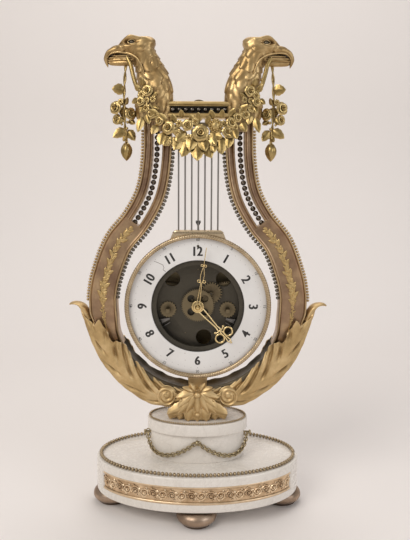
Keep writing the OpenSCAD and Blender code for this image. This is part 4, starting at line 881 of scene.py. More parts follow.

# acanthus bowl: a broad leaf wrapped round a plain band painted dark for the shade on its inner wall, its
# end curled out, a volute at its foot;
# tables over degrees from the bottom (outer, inner) and over the way from the outer edge to the inner
leafLook = {
    "start": 5.5, "rib": 0.56, "ribRise": 0.8, "pitch": 14.5, "sweep": 1.9, "relief": 3.0, "eyes": 1.3,
    "endRise": 1.4, "outerNotch": 1.4, "innerNotch": 1.6, "wall": 1.6,
    "outer": [(5, 105.5), (10, 108), (15, 111), (24, 115.2), (34, 115.4), (75, 115.2), (82, 117.0),
        (88, 119.4)],
    "inner": [(5, 88.4), (24, 87.9), (32, 87.2), (41, 85.7), (53, 84.2), (64, 84.6), (90, 85.0)],
    "ends": [(0, 88), (0.1, 87.6), (0.2, 85.5), (0.3, 83), (0.4, 80.5), (0.475, 78.5), (0.52, 79.5),
        (0.58, 81), (0.64, 82.6), (0.68, 79), (0.71, 75), (0.74, 69), (0.78, 66), (0.83, 67), (0.9, 64.5),
        (1, 62.5)],
    "share": [(0, 1), (0.14, 0.968), (0.3, 0.865), (0.46, 0.70), (0.62, 0.484), (0.78, 0.246),
        (0.9, 0.087), (1, 0)],
    "deep": [(0, 0), (0.14, 5.4), (0.3, 10.4), (0.46, 14), (0.62, 15.8), (0.78, 15.6), (0.9, 13.8),
        (1, 11.2)]}


def leafSpot(a, s):  # radius and depth of the plain bowl
    inner, outer = between(leafLook["inner"], a), between(leafLook["outer"], a)
    return inner + (outer - inner) * between(leafLook["share"], s), between(leafLook["deep"], s)


def roundBowl(degrees, r, y):
    c, s = cosSin(degrees)
    return (r * s, y, dialUp - r * c)


def layLeaf(u, v):
    s = abs(2 * u - 1)
    a = leafLook["start"] + (between(leafLook["ends"], s) - leafLook["start"]) * v
    rib = leafLook["rib"]
    off = (s - rib) / (1 - rib) if s > rib else (rib - s) / rib
    q = a / leafLook["pitch"] - leafLook["sweep"] * off + (0.45 if s > rib else 0.0)
    f = q - math.floor(q)
    lobe = ease(1.2 * math.sin(math.pi * f ** 1.1))
    rise = leafLook["relief"] * ease(off * 2.5) * (lobe - 0.66 + 0.1 * math.cos(6 * math.pi * f) * lobe)
    rise -= leafLook["eyes"] * math.exp(-((off - 0.3) / 0.13) ** 2 - (min(f, 1 - f) / 0.2) ** 2)
    rise += leafLook["ribRise"] * math.exp(-(off / 0.15) ** 2)
    rise += leafLook["endRise"] * ease((v - 0.86) / 0.14) * ease((s - 0.3) / 0.1)
    r, y = leafSpot(a, s)
    r1, y1 = leafSpot(a, min(1.0, s + 0.02))
    r0, y0 = leafSpot(a, max(0.0, s - 0.02))
    out = Vector((y1 - y0, r0 - r1)).normalized() if s > 0.01 else Vector((1, 0))
    r += rise * out.x
    y += rise * out.y
    r -= leafLook["outerNotch"] * (1 - lobe) * ease((0.12 - s) / 0.12)
    r += leafLook["innerNotch"] * (1 - lobe) * ease((s - 0.86) / 0.14)
    return roundBowl(a, r, -y if u < 0.5 else y)


bandLook = {
    "from": 3.0, "sweep": 61.0, "wave": 0.5, "fineWave": 0.15,
    "section": [(85.4, -10.6), (87.0, -12.2), (99.0, -12.6), (106.0, -8), (108, 0), (106.0, 8),
        (99.0, 12.6), (87.0, 12.2), (84.4, 10.6), (86.4, 6.0), (87.2, 0), (86.6, -6.0)]}
tipLook = {
    "path": [(110.5, 0, -16), (114.0, 0, -8.8), (117.4, 0, -3.6), (121.2, 0, -0.8), (125.2, 0, 0.1),
        (128.6, 0, -0.3), (131.0, 0, -1.5)],
    "thick": [(0, 4.4), (0.3, 3.5), (0.55, 2.0), (0.8, 1.45), (1, 0.7)],
    "deep": [(0, 8.6), (0.35, 8.0), (0.7, 5.6), (1, 1.4)]}
voluteLook = {"place": (31.6, -16.4, -92.6), "radius": 10.6, "pitch": 4.6, "relief": 1.5, "columns": 60}


def layBand(corner, v):
    r, y = corner
    a = bandLook["from"] + bandLook["sweep"] * v
    if y > 10 and r < 85:  # the back edge is a little wavy
        r += bandLook["wave"] * math.sin(a * 0.4) + bandLook["fineWave"] * math.sin(a * 0.9)
    return roundBowl(a, r, y)


def layVolute(u, v):
    x, y, z = voluteLook["place"]
    turn = turnAt(u, voluteLook["columns"])
    r = voluteLook["radius"] * v
    wave = 0.5 + 0.5 * math.cos(2 * math.pi * (r / voluteLook["pitch"] + 0.15) + turn)
    high = voluteLook["relief"] * (wave ** 0.8 * ease(r / 3.4) + 0.9 * (1 - ease(r / 3.0)))
    high -= 2.6 * ease((r - 9.0) / 1.6)
    return (x + r * math.cos(turn), y - high + 0.06 * r, dialUp + z + r * math.sin(turn))


def buildAcanthus():
    leaf = editAll(gridSheet("leafShell", 184, 150, layLeaf),  # the grid's steps come out of the veins
                   lambda: bpy.ops.mesh.vertices_smooth(factor=0.5, repeat=2))
    line = [p + Vector((0, 0, dialUp)) for p in smoothLine(tipLook["path"], 5)]
    tip = wire("leafTip", line, lambda v: between(tipLook["thick"], v),
               lambda v: between(tipLook["deep"], v), 20)
    volute = closeUp(gridSheet("volute", voluteLook["columns"], 22, layVolute))
    right = soften(joined([thicken(leaf, leafLook["wall"]), tip, volute], "acanthusRight"), 50)
    band = soften(swept("bowlBand", bandLook["section"], 96, layBand), 40)
    # the band is painted near black: painted shade on its inner wall
    dress(bothSides(band, "bowlBand"), "paintedShadeBronze")
    dressPair(right, "acanthusLeft", "leafGilt", "acanthus")


buildAcanthus()
# leaves as (x, height from the dial's centre, direction, length, width), bumps as (x, height, radius)
palmetteLook = {
    "fan": [(0, -91, -90, 19, 8), (3, -90, -66, 20, 8.6), (4, -89, -42, 22, 9), (5, -88.5, -14, 17, 8),
        (4, -87, 24, 12, 6.4), (2.4, -86, 58, 10, 5.6), (11, -101, -24, 21, 10.6), (9, -97, -50, 16, 9.4)],
    "skirt": [(0, -103.5, -90, 14.5, 10.5), (7.4, -104, -82, 14, 10), (15.4, -105, -76, 13, 10),
        (23, -106, -66, 12, 9.4)],
    "bumps": [(0, -90, 3.6), (0, -110.6, 2.6), (16.6, -95.5, 1.5), (13.4, -98.4, 1.2), (4.2, -83.4, 1.2)],
    "y": -19.0, "skirtY": (-18.5, -14.6), "low": (31.4, 13.4, 93.4), "lowOval": (961, 180),
    "lowStep": 11.5}


def eachSide(x, direction=0):  # a spot and its mirror image, or one on the middle line
    return [(x * s, direction if s > 0 else 180 - direction) for s in ((-1, 1) if x else (1,))]


def buildPalmette():
    model = leafModel("fanLeaf", 10, 10, (8, 10), ridge=1.2, curl=-0.6, droop=1.6, wall=1.0, notch=0.07)
    y, moves, dots = palmetteLook["y"], [], []
    for n, (x, z, turn, length, width) in enumerate(palmetteLook["fan"]):
        for px, way in eachSide(x, turn):
            size = (width / 10, length / 10, 1.5)
            moves.append(fromDial(px, y - 0.22 * (n % 4), z, sheetTurn(way, 5), size))
    for x, z, turn, length, width in palmetteLook["skirt"]:
        for px, way in eachSide(x, turn):
            size = (width / 10, length / 10, 1.2)
            moves.append(fromDial(px, palmetteLook["skirtY"][x >= 10], z, sheetTurn(way, 3), size))
    for x, z, r in palmetteLook["bumps"]:
        dots += [fromDial(px, y - 1.6, z, None, r) for px, way in eachSide(x)]
    parts = [spread(model, moves, "fan"), spread(bead("bump", 1.0, 14, 10), dots, "bumps")]
    small = leafModel("lowLeaf", 7.6, 5.4, (6, 6), ridge=0.8, curl=0.8, droop=0.8, wall=0.8)
    wide, deep, high = palmetteLook["low"]
    wide2, deep2 = palmetteLook["lowOval"]
    row = []
    for c, s in (cosSin(-90 + palmetteLook["lowStep"] * k) for k in range(-6, 7)):
        turn = facing((wide * c / wide2, deep * s / deep2, 0), upward)
        row.append(at(wide * c, deep * s, high, turn))
    parts.append(spread(small, row, "lowLeaves"))
    dress(soften(joined(parts, "palmette"), 50), "leafGilt", "palmette")


buildPalmette()
print("acanthus and palmette done")

# eagle heads: rings of (throat, nape, half depth) from the neck to the hooked beak; the rows of feathers
# and their depth count in rings along the head, the cere's fold in the angle from the nape
eagleLook = {
    "rings": [((59, 181.1), (27, 181.1), 12), ((62, 196), (26, 198), 13), ((58.5, 208.5), (26, 212), 13),
        ((59.5, 219.5), (29.6, 225), 12), ((60.5, 227.5), (34.3, 234), 11.5),
        ((62.3, 234), (38.6, 241), 11.5), ((65.5, 239), (42.2, 249), 12),
        ((68.3, 242.6), (42.3, 256), 12.4), ((70.5, 244.4), (48, 261.6), 12.4),
        ((73.5, 245.1), (57, 261.1), 12.2), ((76.5, 245.4), (66, 262), 11.4),
        ((79.5, 245.4), (72.5, 258.8), 9.4), ((82, 245.2), (77, 254.7), 7.2),
        ((84.6, 244.8), (83.6, 252), 5.8), ((87, 243.2), (89.6, 248.2), 4.6),
        ((88, 239.5), (92.4, 241.8), 3.2), ((88, 236), (91.4, 237.2), 2),
        ((88.2, 233), (88.9, 233.1), 0.7)],
    "jaw": [((60.5, 236.8), (64.5, 245.6), 5.4), ((68, 234.5), (69, 246), 5.4),
        ((75, 234.4), (75.6, 246), 4.8), ((81, 234.5), (81.6, 245.6), 3.8),
        ((85.4, 234.9), (86, 243.8), 3.0), ((87.6, 235.8), (88.2, 242.6), 2.2),
        ((88.6, 237.8), (88.9, 240.8), 0.8)],
    "around": 80, "steps": 9, "jawAround": 48, "jawSteps": 6, "feathers": 10, "bare": 8.8, "stripe": 2.3,
    "stripeFrom": 236.2, "stripeAt": 239.4,
    "rows": [(0, 0), (1, 1.3), (2, 2.4), (3, 3.5), (4, 4.5), (5, 5.4), (6, 6.3), (7, 7.2), (8.8, 8.8)],
    "depth": [(0, 2.6), (3, 2.5), (5, 2.1), (7, 1.3), (8.8, 0.0)],
    "cere": [(0, 12.7), (0.6, 12.3), (1.2, 11.5), (1.8, 10.2), (2.3, 8.9)], "eye": (64.3, 255.0),
    "ball": 2.7, "lid": (3.6, 2.2),
    "lip": [(88.8, 241.2), (87.2, 244.1), (84.6, 245.6), (81.6, 246.3), (78.4, 246.4), (75, 246.4),
        (71.6, 246.2), (68.4, 245.4), (65.4, 244.3), (62.2, 242.6), (59, 240.4), (56, 236), (53.8, 231),
        (52.6, 226)]}
# relief of the head as (height, ring, angle from the nape, reach along, reach round)
eagleRelief = [(3.8, 9.8, 0.86, 1.5, 0.24), (-4.6, 9.5, 1.34, 1.0, 0.25),  # brow and eye socket
               (-2.4, 11.0, 1.15, 0.6, 0.3), (1.1, 8.9, 1.75, 0.9, 0.3),  # before the eye, cheek
               (-1.6, 6.2, 2.5, 1.5, 0.36),  # hollow behind the gape
               (0.8, 7.4, 0, 0.5, 0.6), (-1.9, 6.4, 0, 0.4, 0.7)]  # crest


def fineRings(rings, steps):
    throat = smoothLine([(r[0][0], 0, r[0][1]) for r in rings], steps)
    nape = smoothLine([(r[1][0], 0, r[1][1]) for r in rings], steps)
    half = smoothLine([(r[2], 0, 0) for r in rings], steps)
    return [(a, b, c.x) for a, b, c in zip(throat, nape, half)]


headRings = fineRings(eagleLook["rings"], eagleLook["steps"])
jawRings = fineRings(eagleLook["jaw"], eagleLook["jawSteps"])


def featherLift(up, turn):  # long feathers that overlap, up counted in rows, turn in feathers round the neck
    best = 0.0
    for row in (math.floor(up), math.floor(up) + 1):
        down = (row + 1 - up) / 1.6
        if down > 1:
            continue
        side = turn - 0.5 * (row % 2)
        side = 2 * abs(side - round(side))
        wide = 1.0 if down < 0.5 else math.sqrt(max(0.0, 1 - ((down - 0.5) / 0.5) ** 2))
        if side <= wide:
            arch = 1 - 0.35 * (side / max(wide, 0.05)) ** 4
            best = max(best, (0.25 + 0.75 * down) * arch + 0.14 * (1 - side))
    return best


def headLift(k, a):  # relief over the plain head at a ring and an angle
    lift = sum(high * math.exp(-((k - k0) / reach) ** 2 - ((abs(a) - a0) / wide) ** 2)
               for high, k0, a0, reach, wide in eagleRelief)
    fold = between(eagleLook["cere"], abs(a))
    lift += 0.6 * math.exp(-((k - fold - 0.45) / 0.35) ** 2) - 0.9 * math.exp(-((k - fold) / 0.26) ** 2)
    if k < eagleLook["bare"]:
        up = between(eagleLook["rows"], k) + 0.3 * math.sin(2 * a + 1.3 * k)
        plume = featherLift(up, eagleLook["feathers"] * a / (2 * math.pi) + 0.25 * math.sin(1.9 * k))
        lift += between(eagleLook["depth"], k) * (plume - 0.5)
    return lift


def headPoint(rings, i, a, relief=True):
    throat, nape, half = rings[i]
    a = math.remainder(a, 2 * math.pi)  # both flanks count from the nape
    middle, axis = (throat + nape) / 2, (nape - throat) / 2
    c, s = (math.copysign(abs(w) ** 0.88, w) for w in (math.cos(a), math.sin(a)))  # flanks a little full
    p = middle + axis * c + Vector((0, half * s, 0))
    if relief:
        p = p + (p - middle).normalized() * headLift(i / eagleLook["steps"], a)
    return Vector((p.x, p.y, dialUp + p.z))


headFront = [headPoint(headRings, i, -math.pi * k / 72)
             for i in range(len(headRings)) for k in range(3, 70)]


def onHead(x, z):  # the head's surface at a spot seen from the front
    return min(headFront, key=lambda p: (p.x - x) ** 2 + (p.z - dialUp - z) ** 2)


def layHead(u, v):
    return headPoint(headRings, int(round(v * (len(headRings) - 1))), turnAt(u, eagleLook["around"]))


def layJaw(u, v):
    p = headPoint(jawRings, int(round(v * (len(jawRings) - 1))), turnAt(u, eagleLook["jawAround"]), False)
    high = p.z - dialUp
    line = 0.5 * math.cos(2 * math.pi * (high - eagleLook["stripeAt"]) / eagleLook["stripe"])
    line *= ease((high - eagleLook["stripeFrom"]) / 1.2)
    return p + Vector((0, line * math.copysign(1, p.y), 0))


def buildEagles():
    parts = [closeUp(gridSheet("head", eagleLook["around"], len(headRings) - 1, layHead), fill=True),
             closeUp(gridSheet("jaw", eagleLook["jawAround"], len(jawRings) - 1, layJaw), fill=True)]
    x, z = eagleLook["eye"]
    spot = onHead(x, z)
    lip = [onHead(*p) + 0.35 * front for p in eagleLook["lip"]]
    middle = [(a + 2 * b + c) / 4 for a, b, c in zip(lip, lip[1:], lip[2:])]
    lip = smoothLine([lip[0]] + middle + [lip[-1]], 4)
    wide, high = eagleLook["lid"]
    lid = [onHead(x + wide * c, z + 0.1 + high * s) for c, s in map(cosSin, range(0, 361, 30))]
    lid = [Vector((p.x, min(p.y, spot.y - 1.2), p.z)) for p in lid]
    balls = []
    for s in (-1, 1):  # both flanks of the head
        side = Matrix.Diagonal((1, -s, 1, 1))
        ball = bead("eyeBall", eagleLook["ball"], 20, 14)
        balls.append(spread(ball, [side @ at(spot.x, spot.y + 0.1, spot.z)], "eyeBall"))
        rim = wire("lid", lid, 0.45, 0.6, 6, closed=True)
        edge = wire("lip", lip, lambda v: 0.6 + 0.6 * math.sin(math.pi * v), 1.0)
        parts += [spread(piece, [side], "face") for piece in (rim, edge)]
    right = soften(joined(parts, "eagleRight"), 50)
    # the eyeballs are painted dark: painted shade of the sockets under the brows
    dress(bothSides(soften(joined(balls, "eagleEyes"), 60), "eagleEyes"), "paintedShadeBronze")
    dressPair(right, "eagleLeft", "eagleGilt", "eagle")


buildEagles()
print("eagles done")

# flower swag under the crossbar: flowers as (x, height, radius), leaves as (x, height, direction, size)
swagLook = {
    "y": -15.8, "end": (47, 197), "low": 162, "stem": 1.3, "roseY": -17.2, "daisyY": -16.4, "leafY": -15.4,
    "roses": [(1.9, 169.7, 8.0), (-28.8, 174.6, 6.6), (-10.5, 177, 5.6), (27.5, 171, 5.2),
        (31.5, 179.5, 5.4), (-37.5, 181, 4.6), (37.5, 184.5, 4.6)],
    "daisies": [(-30, 161.8, 4.8), (-20.5, 170, 4.0), (10.5, 164, 4.2), (-8.5, 164.5, 4.4),
        (24, 178.5, 3.6), (-3, 180.5, 3.6), (-18.5, 178.5, 3.8), (-41, 186.5, 3.8), (41.5, 190.5, 3.8),
        (35, 175.5, 3.8)],
    "fruit": (16.2, 176.6, 6.4), "grains": 46, "grain": 1.15,
    "leaves": [(-9, 163, -114, 1.5), (-1, 160, -90, 1.55), (6, 161, -66, 1.4), (13, 163.5, -78, 1.15),
        (21, 167, -86, 1.5), (-16, 166, -120, 1.35), (-14, 168, 158, 0.9), (-16, 171, 178, 0.85),
        (11, 170, 12, 0.9), (13, 167.5, -8, 0.95), (-4, 179, 118, 0.8), (8, 178, 70, 0.75),
        (-23, 179, 104, 0.75), (-34, 170, -104, 1.1), (33, 174, -70, 1.0), (-5, 167, -104, 1.3),
        (3, 166, -74, 1.3), (9, 168, -52, 1.2), (-12, 171, -136, 1.2), (-24, 166, -70, 1.1),
        (17, 171, -110, 1.2), (24, 174, -46, 1.1), (-32, 180, 128, 0.9), (-20, 176, -150, 1.0),
        (0, 180, 92, 0.8), (14, 183, 108, 0.8), (30, 185, 60, 0.8), (-27, 168, -124, 1.1),
        (-40, 186, 140, 0.8), (40, 190, 44, 0.8), (30, 168, -98, 1.1), (-40, 177, -118, 0.9),
        (41, 180, -62, 0.9), (22, 184, 84, 0.7), (-16, 184, 96, 0.7)]}
# flowers on each eagle's breast, and the leaves as (x, height, direction, length, width)
breastLook = {
    "roses": [(49.2, 209.5, 5.6), (55.8, 199.4, 4.4), (45.3, 187.4, 4.6)], "roseY": -14.4,
    "daisies": [(54.9, 205.6, 4.0), (50.8, 193.4, 4.4), (44.0, 201.5, 3.4), (50.0, 200.5, 3.2)],
    "daisyY": -14.2, "leafY": -13.4,
    "leaves": [(54.7, 184.5, -76, 15.5, 6.4), (50, 188, -104, 11, 6), (46, 204, 150, 8, 5),
        (57, 209, 60, 8, 4.6), (58, 202, -40, 8, 5), (46, 194, 190, 9, 5), (53, 214, 80, 8, 4.4),
        (52, 196, -60, 9, 5.4)]}
# garland in a beak: its roses have a depth and a lean as well
dropLook = {
    "x": 71.3, "top": 234.6, "bottom": 143.3, "bud": 18.2, "half": 5.9, "budColumns": 40, "stalk": 0.8,
    "budLine": [(0, 0), (0.3, -0.02), (0.62, -0.12), (0.9, -0.28), (1.0, -0.44), (0.93, -0.6),
        (0.66, -0.79), (0.3, -0.93), (0.03, -1)],
    "ribbon": [(69.6, -4.6, 242.6), (68.2, -5.6, 239.5), (66, -7, 234.8), (63.5, -9.6, 225.3),
        (60.5, -12, 215.8), (56.5, -14, 209.5)],
    "roses": [(81, 194.4, 6.3, -2.6, 0.5), (80.4, 183.7, 5.2, 1.4, 0.6), (66.9, 188.7, 6.0, -1.4, -0.6),
        (73.5, 191, 5.2, 4.0, 0.1)],
    "daisy": (76.2, -2.6, 200.4), "daisySize": 3.0,
    "dots": [(69.7, 180.7, 1.6), (70.6, 174.7, 1.6), (75.4, 178.6, 1.3), (73.2, 203, 1.1)],
    "leaves": [(73.0, 212.3, 0, 11.8, 9.4), (72.7, 174.2, -36, 14.4, 8.4), (69.6, 173.4, -124, 13, 7.6),
        (72.4, 197.5, 116, 8, 4.2), (74, 200, -12, 8, 5), (68.6, 182.8, -150, 7.6, 5),
        (75.4, 186, -62, 9, 6), (71, 168, -60, 7, 4.4)]}
gardenLeaf = {"length": 12, "width": 6.4}


def gardenModels():
    leaf = leafModel("gardenLeaf", *gardenLeaf.values(), (6, 9), ridge=1.0, curl=1.2, droop=0.8, wall=0.6,
                     notch=0.12)
    return roseModel("rose", roseRings), roseModel("daisy", daisyRings), leaf


def leafSize(length, width, thick):
    return (width / gardenLeaf["width"], length / gardenLeaf["length"], thick)


def flowerTurn(out, x):
    return facing(out, (math.sin(x), 0, 1))


def swagPoint(u):
    x, high = swagLook["end"]
    return Vector((x * u, swagLook["y"] + 1.4 * u ** 4,
                   dialUp + swagLook["low"] + (high - swagLook["low"]) * abs(u) ** 1.7))


def buildSwag():
    rose, daisy, leaf = gardenModels()
    roses, daisies, leaves, grains = [], [], [], []
    for x, z, r in swagLook["roses"]:
        turn = flowerTurn((0.012 * x, -1, 0.1), x)
        roses.append(fromDial(x, swagLook["roseY"] + 0.0007 * x * x, z, turn, r))
    for x, z, r in swagLook["daisies"]:
        turn = flowerTurn((0.01 * x, -1, 0), 2 * x)
        daisies.append(fromDial(x, swagLook["daisyY"] + 0.0007 * x * x, z, turn, r))
    for x, z, way, size in swagLook["leaves"]:
        y = swagLook["leafY"] + 0.5 * math.sin(3 * x)
        turn = sheetTurn(way, 14 + 6 * math.sin(5 * x))
        leaves.append(fromDial(x, y, z, turn, (1.15 * size, size, size)))
    for s in (-1, 1):
        for flowers, key, y in ((roses, "roses", "roseY"), (daisies, "daisies", "daisyY")):
            for x, z, r in breastLook[key]:
                flowers.append(fromDial(x * s, breastLook[y], z, flowerTurn((0.3 * s, -1, 0.1), x), r))
        for x, z, way, length, width in breastLook["leaves"]:
            turn = sheetTurn(way if s > 0 else 180 - way, 12)
            leaves.append(fromDial(x * s, breastLook["leafY"], z, turn, leafSize(length, width, 1)))
    x, z, r = swagLook["fruit"]
    for k in range(swagLook["grains"]):  # a berry of many small grains
        up = 1 - (k + 0.5) / swagLook["grains"] * 1.15
        a = 2.39996 * k
        flat = r * math.sqrt(max(0.0, 1 - up * up))
        grains.append(fromDial(x + flat * math.cos(a), -15.2 - 0.62 * r * up, z + 0.9 * flat * math.sin(a)))
    stem = [swagPoint(k / 20 - 1) for k in range(41)]
    parts = [wire("swagStem", stem, swagLook["stem"], swagLook["stem"]), spread(rose, roses, "swagRoses"),
             spread(daisy, daisies, "swagDaisies"), spread(leaf, leaves, "swagLeaves"),
             spread(bead("grain", swagLook["grain"], 8, 6), grains, "swagFruit"),
             spread(bead("core", 1.0, 12, 8), [fromDial(x, -15, z, None, 0.86 * r)], "swagCore")]
    dress(soften(joined(parts, "flowerSwag"), 50), "garlandGilt", "flower_swag")


buildSwag()


def layBud(u, v):
    r, z = rowAt(dropLook["budLine"], v)
    a = turnAt(u, dropLook["budColumns"])
    r *= dropLook["half"] * (1 - 0.09 * abs(math.cos(2.5 * a + 1.2 * z)) ** 6)
    high = dropLook["bottom"] + dropLook["bud"] * (1 + z)
    return (dropLook["x"] + r * math.cos(a), r * math.sin(a), dialUp + high)


def buildDrops():
    top, low = dropLook["top"], dropLook["bottom"] + dropLook["bud"]
    rose, daisy, leaf = gardenModels()
    parts, leaves = [], []
    for s in (-0.85, 0.85):  # two thin stalks wound round each other
        line = [(dropLook["x"] + 2.0 * math.sin(math.pi * k / 30) + s * math.cos(k * 0.62),
                 s * math.sin(k * 0.62), dialUp + top + (low - top) * k / 30) for k in range(31)]
        parts.append(wire("stalk", line, dropLook["stalk"], dropLook["stalk"]))
    ribbon = [p + Vector((0, 0, dialUp)) for p in smoothLine(dropLook["ribbon"], 6)]
    parts.append(wire("ribbon", ribbon, lambda v: 1.2 + 0.4 * v, 0.6))
    for i in range(1, len(ribbon) - 1):
        along = runAt(ribbon, i).normalized()
        side = along.cross(front).normalized()
        for s in (-1, 1):
            turn = facing(front + 0.3 * side * s, along + 0.55 * s * side)
            leaves.append(at(*(ribbon[i] + 0.5 * front), turn, (0.36, 0.34, 0.5)))
    parts.append(closeUp(gridSheet("bud", dropLook["budColumns"], len(dropLook["budLine"]) - 1, layBud)))
    roses = [fromDial(x, y, z, flowerTurn((lean, -1 if y < 3 else 1, 0.1), x), r)
             for x, z, r, y, lean in dropLook["roses"]]
    for n, (x, z, way, length, width) in enumerate(dropLook["leaves"]):
        leaves.append(fromDial(x, -0.6 + 0.5 * (n % 3), z, sheetTurn(way, 8), leafSize(length, width, 1.1)))
    daisies = [fromDial(*dropLook["daisy"], facing((0.2, -1, 0.2), upward), dropLook["daisySize"])]
    dots = [fromDial(x, -2.4, z, None, r) for x, z, r in dropLook["dots"]]
    parts += [spread(rose, roses, "dropRoses"), spread(daisy, daisies, "dropDaisies"),
              spread(leaf, leaves, "dropLeaves"), spread(bead("dot", 1.0), dots, "dropDots")]
    dress(bothSides(soften(joined(parts, "dropRight"), 50), "beakDrops"), "garlandGilt", "beak_drops")


buildDrops()
print("garlands done")

# enamel dial and its figures: (radius, size, boldness, shifts of the strokes laid over each other)
dialLook = {
    "out": 70.5, "in": 46.3, "edgeY": -15.0, "innerY": -16.8, "wall": 2.0, "narrow": 0.86,
    "hours": (55.4, 12.8, 0.25, (-0.42, 0.0, 0.42)), "minutes": (66.9, 4.2, 0.03, (0.0,)), "dotAt": 62.9,
    "dot": [(0, -0.04), (0.24, -0.04), (0.24, 0.02), (0, 0.02)], "pinAt": 60.4,
    "pin": [(0, -0.45), (0.9, -0.35), (1.35, 0.0), (1.35, 0.4), (0, 0.4)],
    "crack": [(-43.4, 45.1), (-39, 43.6), (-34.7, 41.6), (-33.5, 38.7), (-34.7, 37.0), (-31.8, 34.9)]}


def dialFace(r):
    share = (dialLook["out"] - r) / (dialLook["out"] - dialLook["in"])
    return dialLook["edgeY"] + (dialLook["innerY"] - dialLook["edgeY"]) * share


def buildDial():
    o, i, w = dialLook["out"], dialLook["in"], dialLook["wall"]
    flat = [o - 0.9 - (o - i - 1.6) * k / 10 for k in range(11)]
    line = [(o - 0.7, dialFace(o) + w), (o, dialFace(o) + w - 0.5), (o, dialFace(o) + 0.9),
            (o - 0.25, dialFace(o) + 0.35)] + [(r, dialFace(r)) for r in flat]
    line += [(i + 0.2, dialFace(i) + 0.3), (i, dialFace(i) + 0.8), (i, dialFace(i) + w), line[0]]
    face = soften(turned("enamelDial", line, 160, onDial), 40)
    dress(face, "whiteEnamel", "dial", slotName="white_enamel")


buildDial()


# one figure, flat on the enamel, heavy in its uprights
def figure(text, angle, radius, size, bold, strokes):
    clearSelection()
    bpy.ops.object.text_add()
    word = bpy.context.object
    word.data.body = text
    word.data.size = size * mm
    word.data.align_x = "CENTER"
    word.data.align_y = "CENTER"
    word.data.offset = 0.6 * bold * mm
    word.data.resolution_u = 4
    pick(word)
    bpy.ops.object.convert(target="MESH")
    word = spread(bpy.context.object, [at(shift, 0, 0.015 * n) for n, shift in enumerate(strokes)], "figure")
    c, s = cosSin(-angle + (180 if 120 <= angle % 360 <= 240 else 0))  # the lower figures stand upright too
    mz, mx = (radius * w for w in cosSin(angle))
    xs = [vert.co.x for vert in word.data.vertices]
    ys = [vert.co.y for vert in word.data.vertices]
    midX, midY = (min(xs) + max(xs)) / 2, (min(ys) + max(ys)) / 2
    for vert in word.data.vertices:
        x, y = (vert.co.x - midX) / mm * dialLook["narrow"], (vert.co.y - midY) / mm
        px, pz = mx + x * c - y * s, mz + x * s + y * c
        vert.co = Vector((px, dialFace(math.hypot(px, pz)) - 0.05 - vert.co.z / mm, dialUp + pz)) * mm
    word.matrix_world = Matrix.Identity(4)
    return word


def buildFigures():
    words = [figure(str(h), 30 * h, *dialLook["hours"]) for h in range(1, 13)]
    words += [figure(str(5 * h), 30 * h, *dialLook["minutes"]) for h in range(1, 13)]
    r = dialLook["dotAt"]
    moves = [fromDial(r * s, dialFace(r), r * c) for c, s in map(cosSin, range(0, 360, 6))]
    dots = spread(turned("dot", dialLook["dot"], 8, lambda x, y, z: (x, z, y)), moves, "dots")
    dots.data.flip_normals()  # closeUp leaves these thin discs turned in
    numerals = editAll(joined(words, "dialFigures"),
                       lambda: bpy.ops.mesh.normals_make_consistent(inside=False))
    dress(joined([numerals, dots], "dialFigures"), "figurePaint", slotName="white_enamel")
    line = [(x, dialFace(math.hypot(x, z)) - 0.02, dialUp + z) for x, z in dialLook["crack"]]
    dress(wire("hairline", line, 0.22, 0.05, 6), "hairlinePaint", slotName="white_enamel")
    r = dialLook["pinAt"]
    pin = turned("dialPin", dialLook["pin"], 20, lambda x, y, z: (x, dialFace(r) + z, dialUp + r + y))
    dress(soften(pin, 40), "darkPlateAndShade", slotName="aged_brass")


buildFigures()
print("dial done")

# hands: strokes of (points, half width), rings of (x, z, radius, half width) on both sides of the middle
handLook = {"hour": {"angle": -47, "mid": -18.55, "half": 0.45, "sides": 48,
                     "strokes": [([(5.0, 2.6), (12, 2.3), (20, 1.5), (27, 1.0), (33, 1.6)], 0.62),
                                 ([(33, 0.6), (36, 1.0), (39.5, 0.8), (43, 0.9), (46, 1.6), (50, 0)], 0.55),
                                 ([(32.6, 0), (32.6, 3.0), (31.6, 5.0)], 0.6)],
                     "rings": [(38.6, 5.4, 4.4, 0.75), (31.4, 5.3, 0.55, 0.55)], "middle": [],
                     "hub": [(3.44, -18.1), (3.44, -19), (4, -19.1), (5.2, -18.9), (6, -18.6), (6.2, -18.1),
                             (3.44, -18.1)]},
            "minute": {"angle": 82, "mid": -20.5, "half": 0.5, "sides": 40,
                       "strokes": [([(3.6, 1.5), (10, 1.2), (18, 0.8), (24, 0.5)], 0.42),
                                   ([(24, 0.4), (28, 1.5), (32, 1.9), (36, 1.3), (40, 0.4)], 0.42)],
                       "rings": [(26.2, 2.7, 1.3, 0.42), (42.0, 1.7, 1.1, 0.38)],
                       "middle": [([(40, 0), (44, 0), (48, 0), (54, 0), (60, 0)], 0.42)],
                       "hub": [(2.32, -20), (2.32, -21), (3, -21.1), (4, -20.85), (4.4, -20), (2.32, -20)]}}


def buildHand(body, look):
    c, s = cosSin(look["angle"])
    thick = 0.9 * look["half"]

    def onHand(points):
        return [(x * c - z * s, look["mid"], dialUp + x * s + z * c) for x, z in points]
    strokes = list(look["middle"])
    for points, wide in look["strokes"]:
        strokes += [([(x, z * k) for x, z in points], wide) for k in (-1, 1)]
    parts = [wire("stroke", onHand(points), wide, thick) for points, wide in strokes]
    for x, z, r, wide in look["rings"]:
        for k in (-1, 1):
            loop = [(x + r * cos, z * k + r * sin) for cos, sin in map(cosSin, range(0, 361, 15))]
            parts.append(wire("loop", onHand(loop), wide, thick, closed=True))
    parts.append(turned("hub", look["hub"], look["sides"], onDial))
    piece = soften(joined(parts, body + "Hand"), 45)
    dress(piece, "brightGilt", body + "_hand", body=body, slotName="bright_gilt")


for body, look in handLook.items():
    buildHand(body, look)

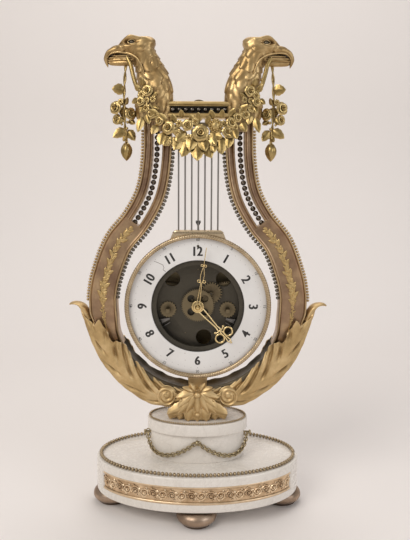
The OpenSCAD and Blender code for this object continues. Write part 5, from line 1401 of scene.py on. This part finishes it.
# pendulum: a twisted cord ring, a bridge under the rods and an apron between the two; the bridge's
# section is (depth, height under its top), and a corner of the apron is (depth, whether it is a top one)
ringLook = {"radius": 70.6, "cord": 2.4, "y": -18.5, "strands": 3, "turns": 60, "major": 1260, "minor": 12}
bridgeLook = {
    "half": 25.5, "top": 76.0, "low": 73.3, "slopeFrom": 22.35, "slope": 2.7 / 3.2, "rows": 40,
    "section": [(-9.6, 9), (-9.6, 0.3), (-10.0, 0), (-17.1, 0), (-17.5, 0.4), (-17.5, 9)]}
apronLook = {
    "half": 28.2, "top": 73.8, "slopeFrom": 24.85, "slope": 9 / 3.5, "rows": 40,
    "section": [(-16.4, False), (-16.4, True), (-17.5, True), (-17.5, False)]}


def layCord(u, v):
    t, a = turnAt(v, ringLook["major"]), turnAt(u, ringLook["minor"])
    swell = abs(math.cos(0.5 * ringLook["strands"] * (a + ringLook["turns"] * t)))
    r = ringLook["cord"] * (0.76 + 0.24 * swell ** 0.7)
    flat = ringLook["radius"] + r * math.cos(a)
    return (flat * math.sin(t), ringLook["y"] - r * math.sin(a), dialUp + flat * math.cos(t))


def slopedTop(look, x):
    return look["top"] - look["slope"] * max(0.0, abs(x) - look["slopeFrom"])


def layBridge(corner, v):
    x = (2 * v - 1) * bridgeLook["half"]
    return (x, corner[0], dialUp + max(slopedTop(bridgeLook, x) - corner[1], bridgeLook["low"]))


def layApron(corner, v):
    x = (2 * v - 1) * apronLook["half"]
    low = math.sqrt(ringLook["radius"] ** 2 - x * x)
    return (x, corner[0], dialUp + (max(low + 0.1, slopedTop(apronLook, x)) if corner[1] else low))


def buildPendulum():
    parts = [closeUp(gridSheet("cordRing", ringLook["minor"], ringLook["major"], layCord)),
             swept("bridge", bridgeLook["section"], bridgeLook["rows"], layBridge),
             swept("apron", apronLook["section"], apronLook["rows"], layApron)]
    piece = soften(joined(parts, "pendulumRing"), 50)
    dress(piece, "cordGilt", "pendulum_ring", body="pendulum", slotName="bright_gilt")


buildPendulum()
print("hands and pendulum done")
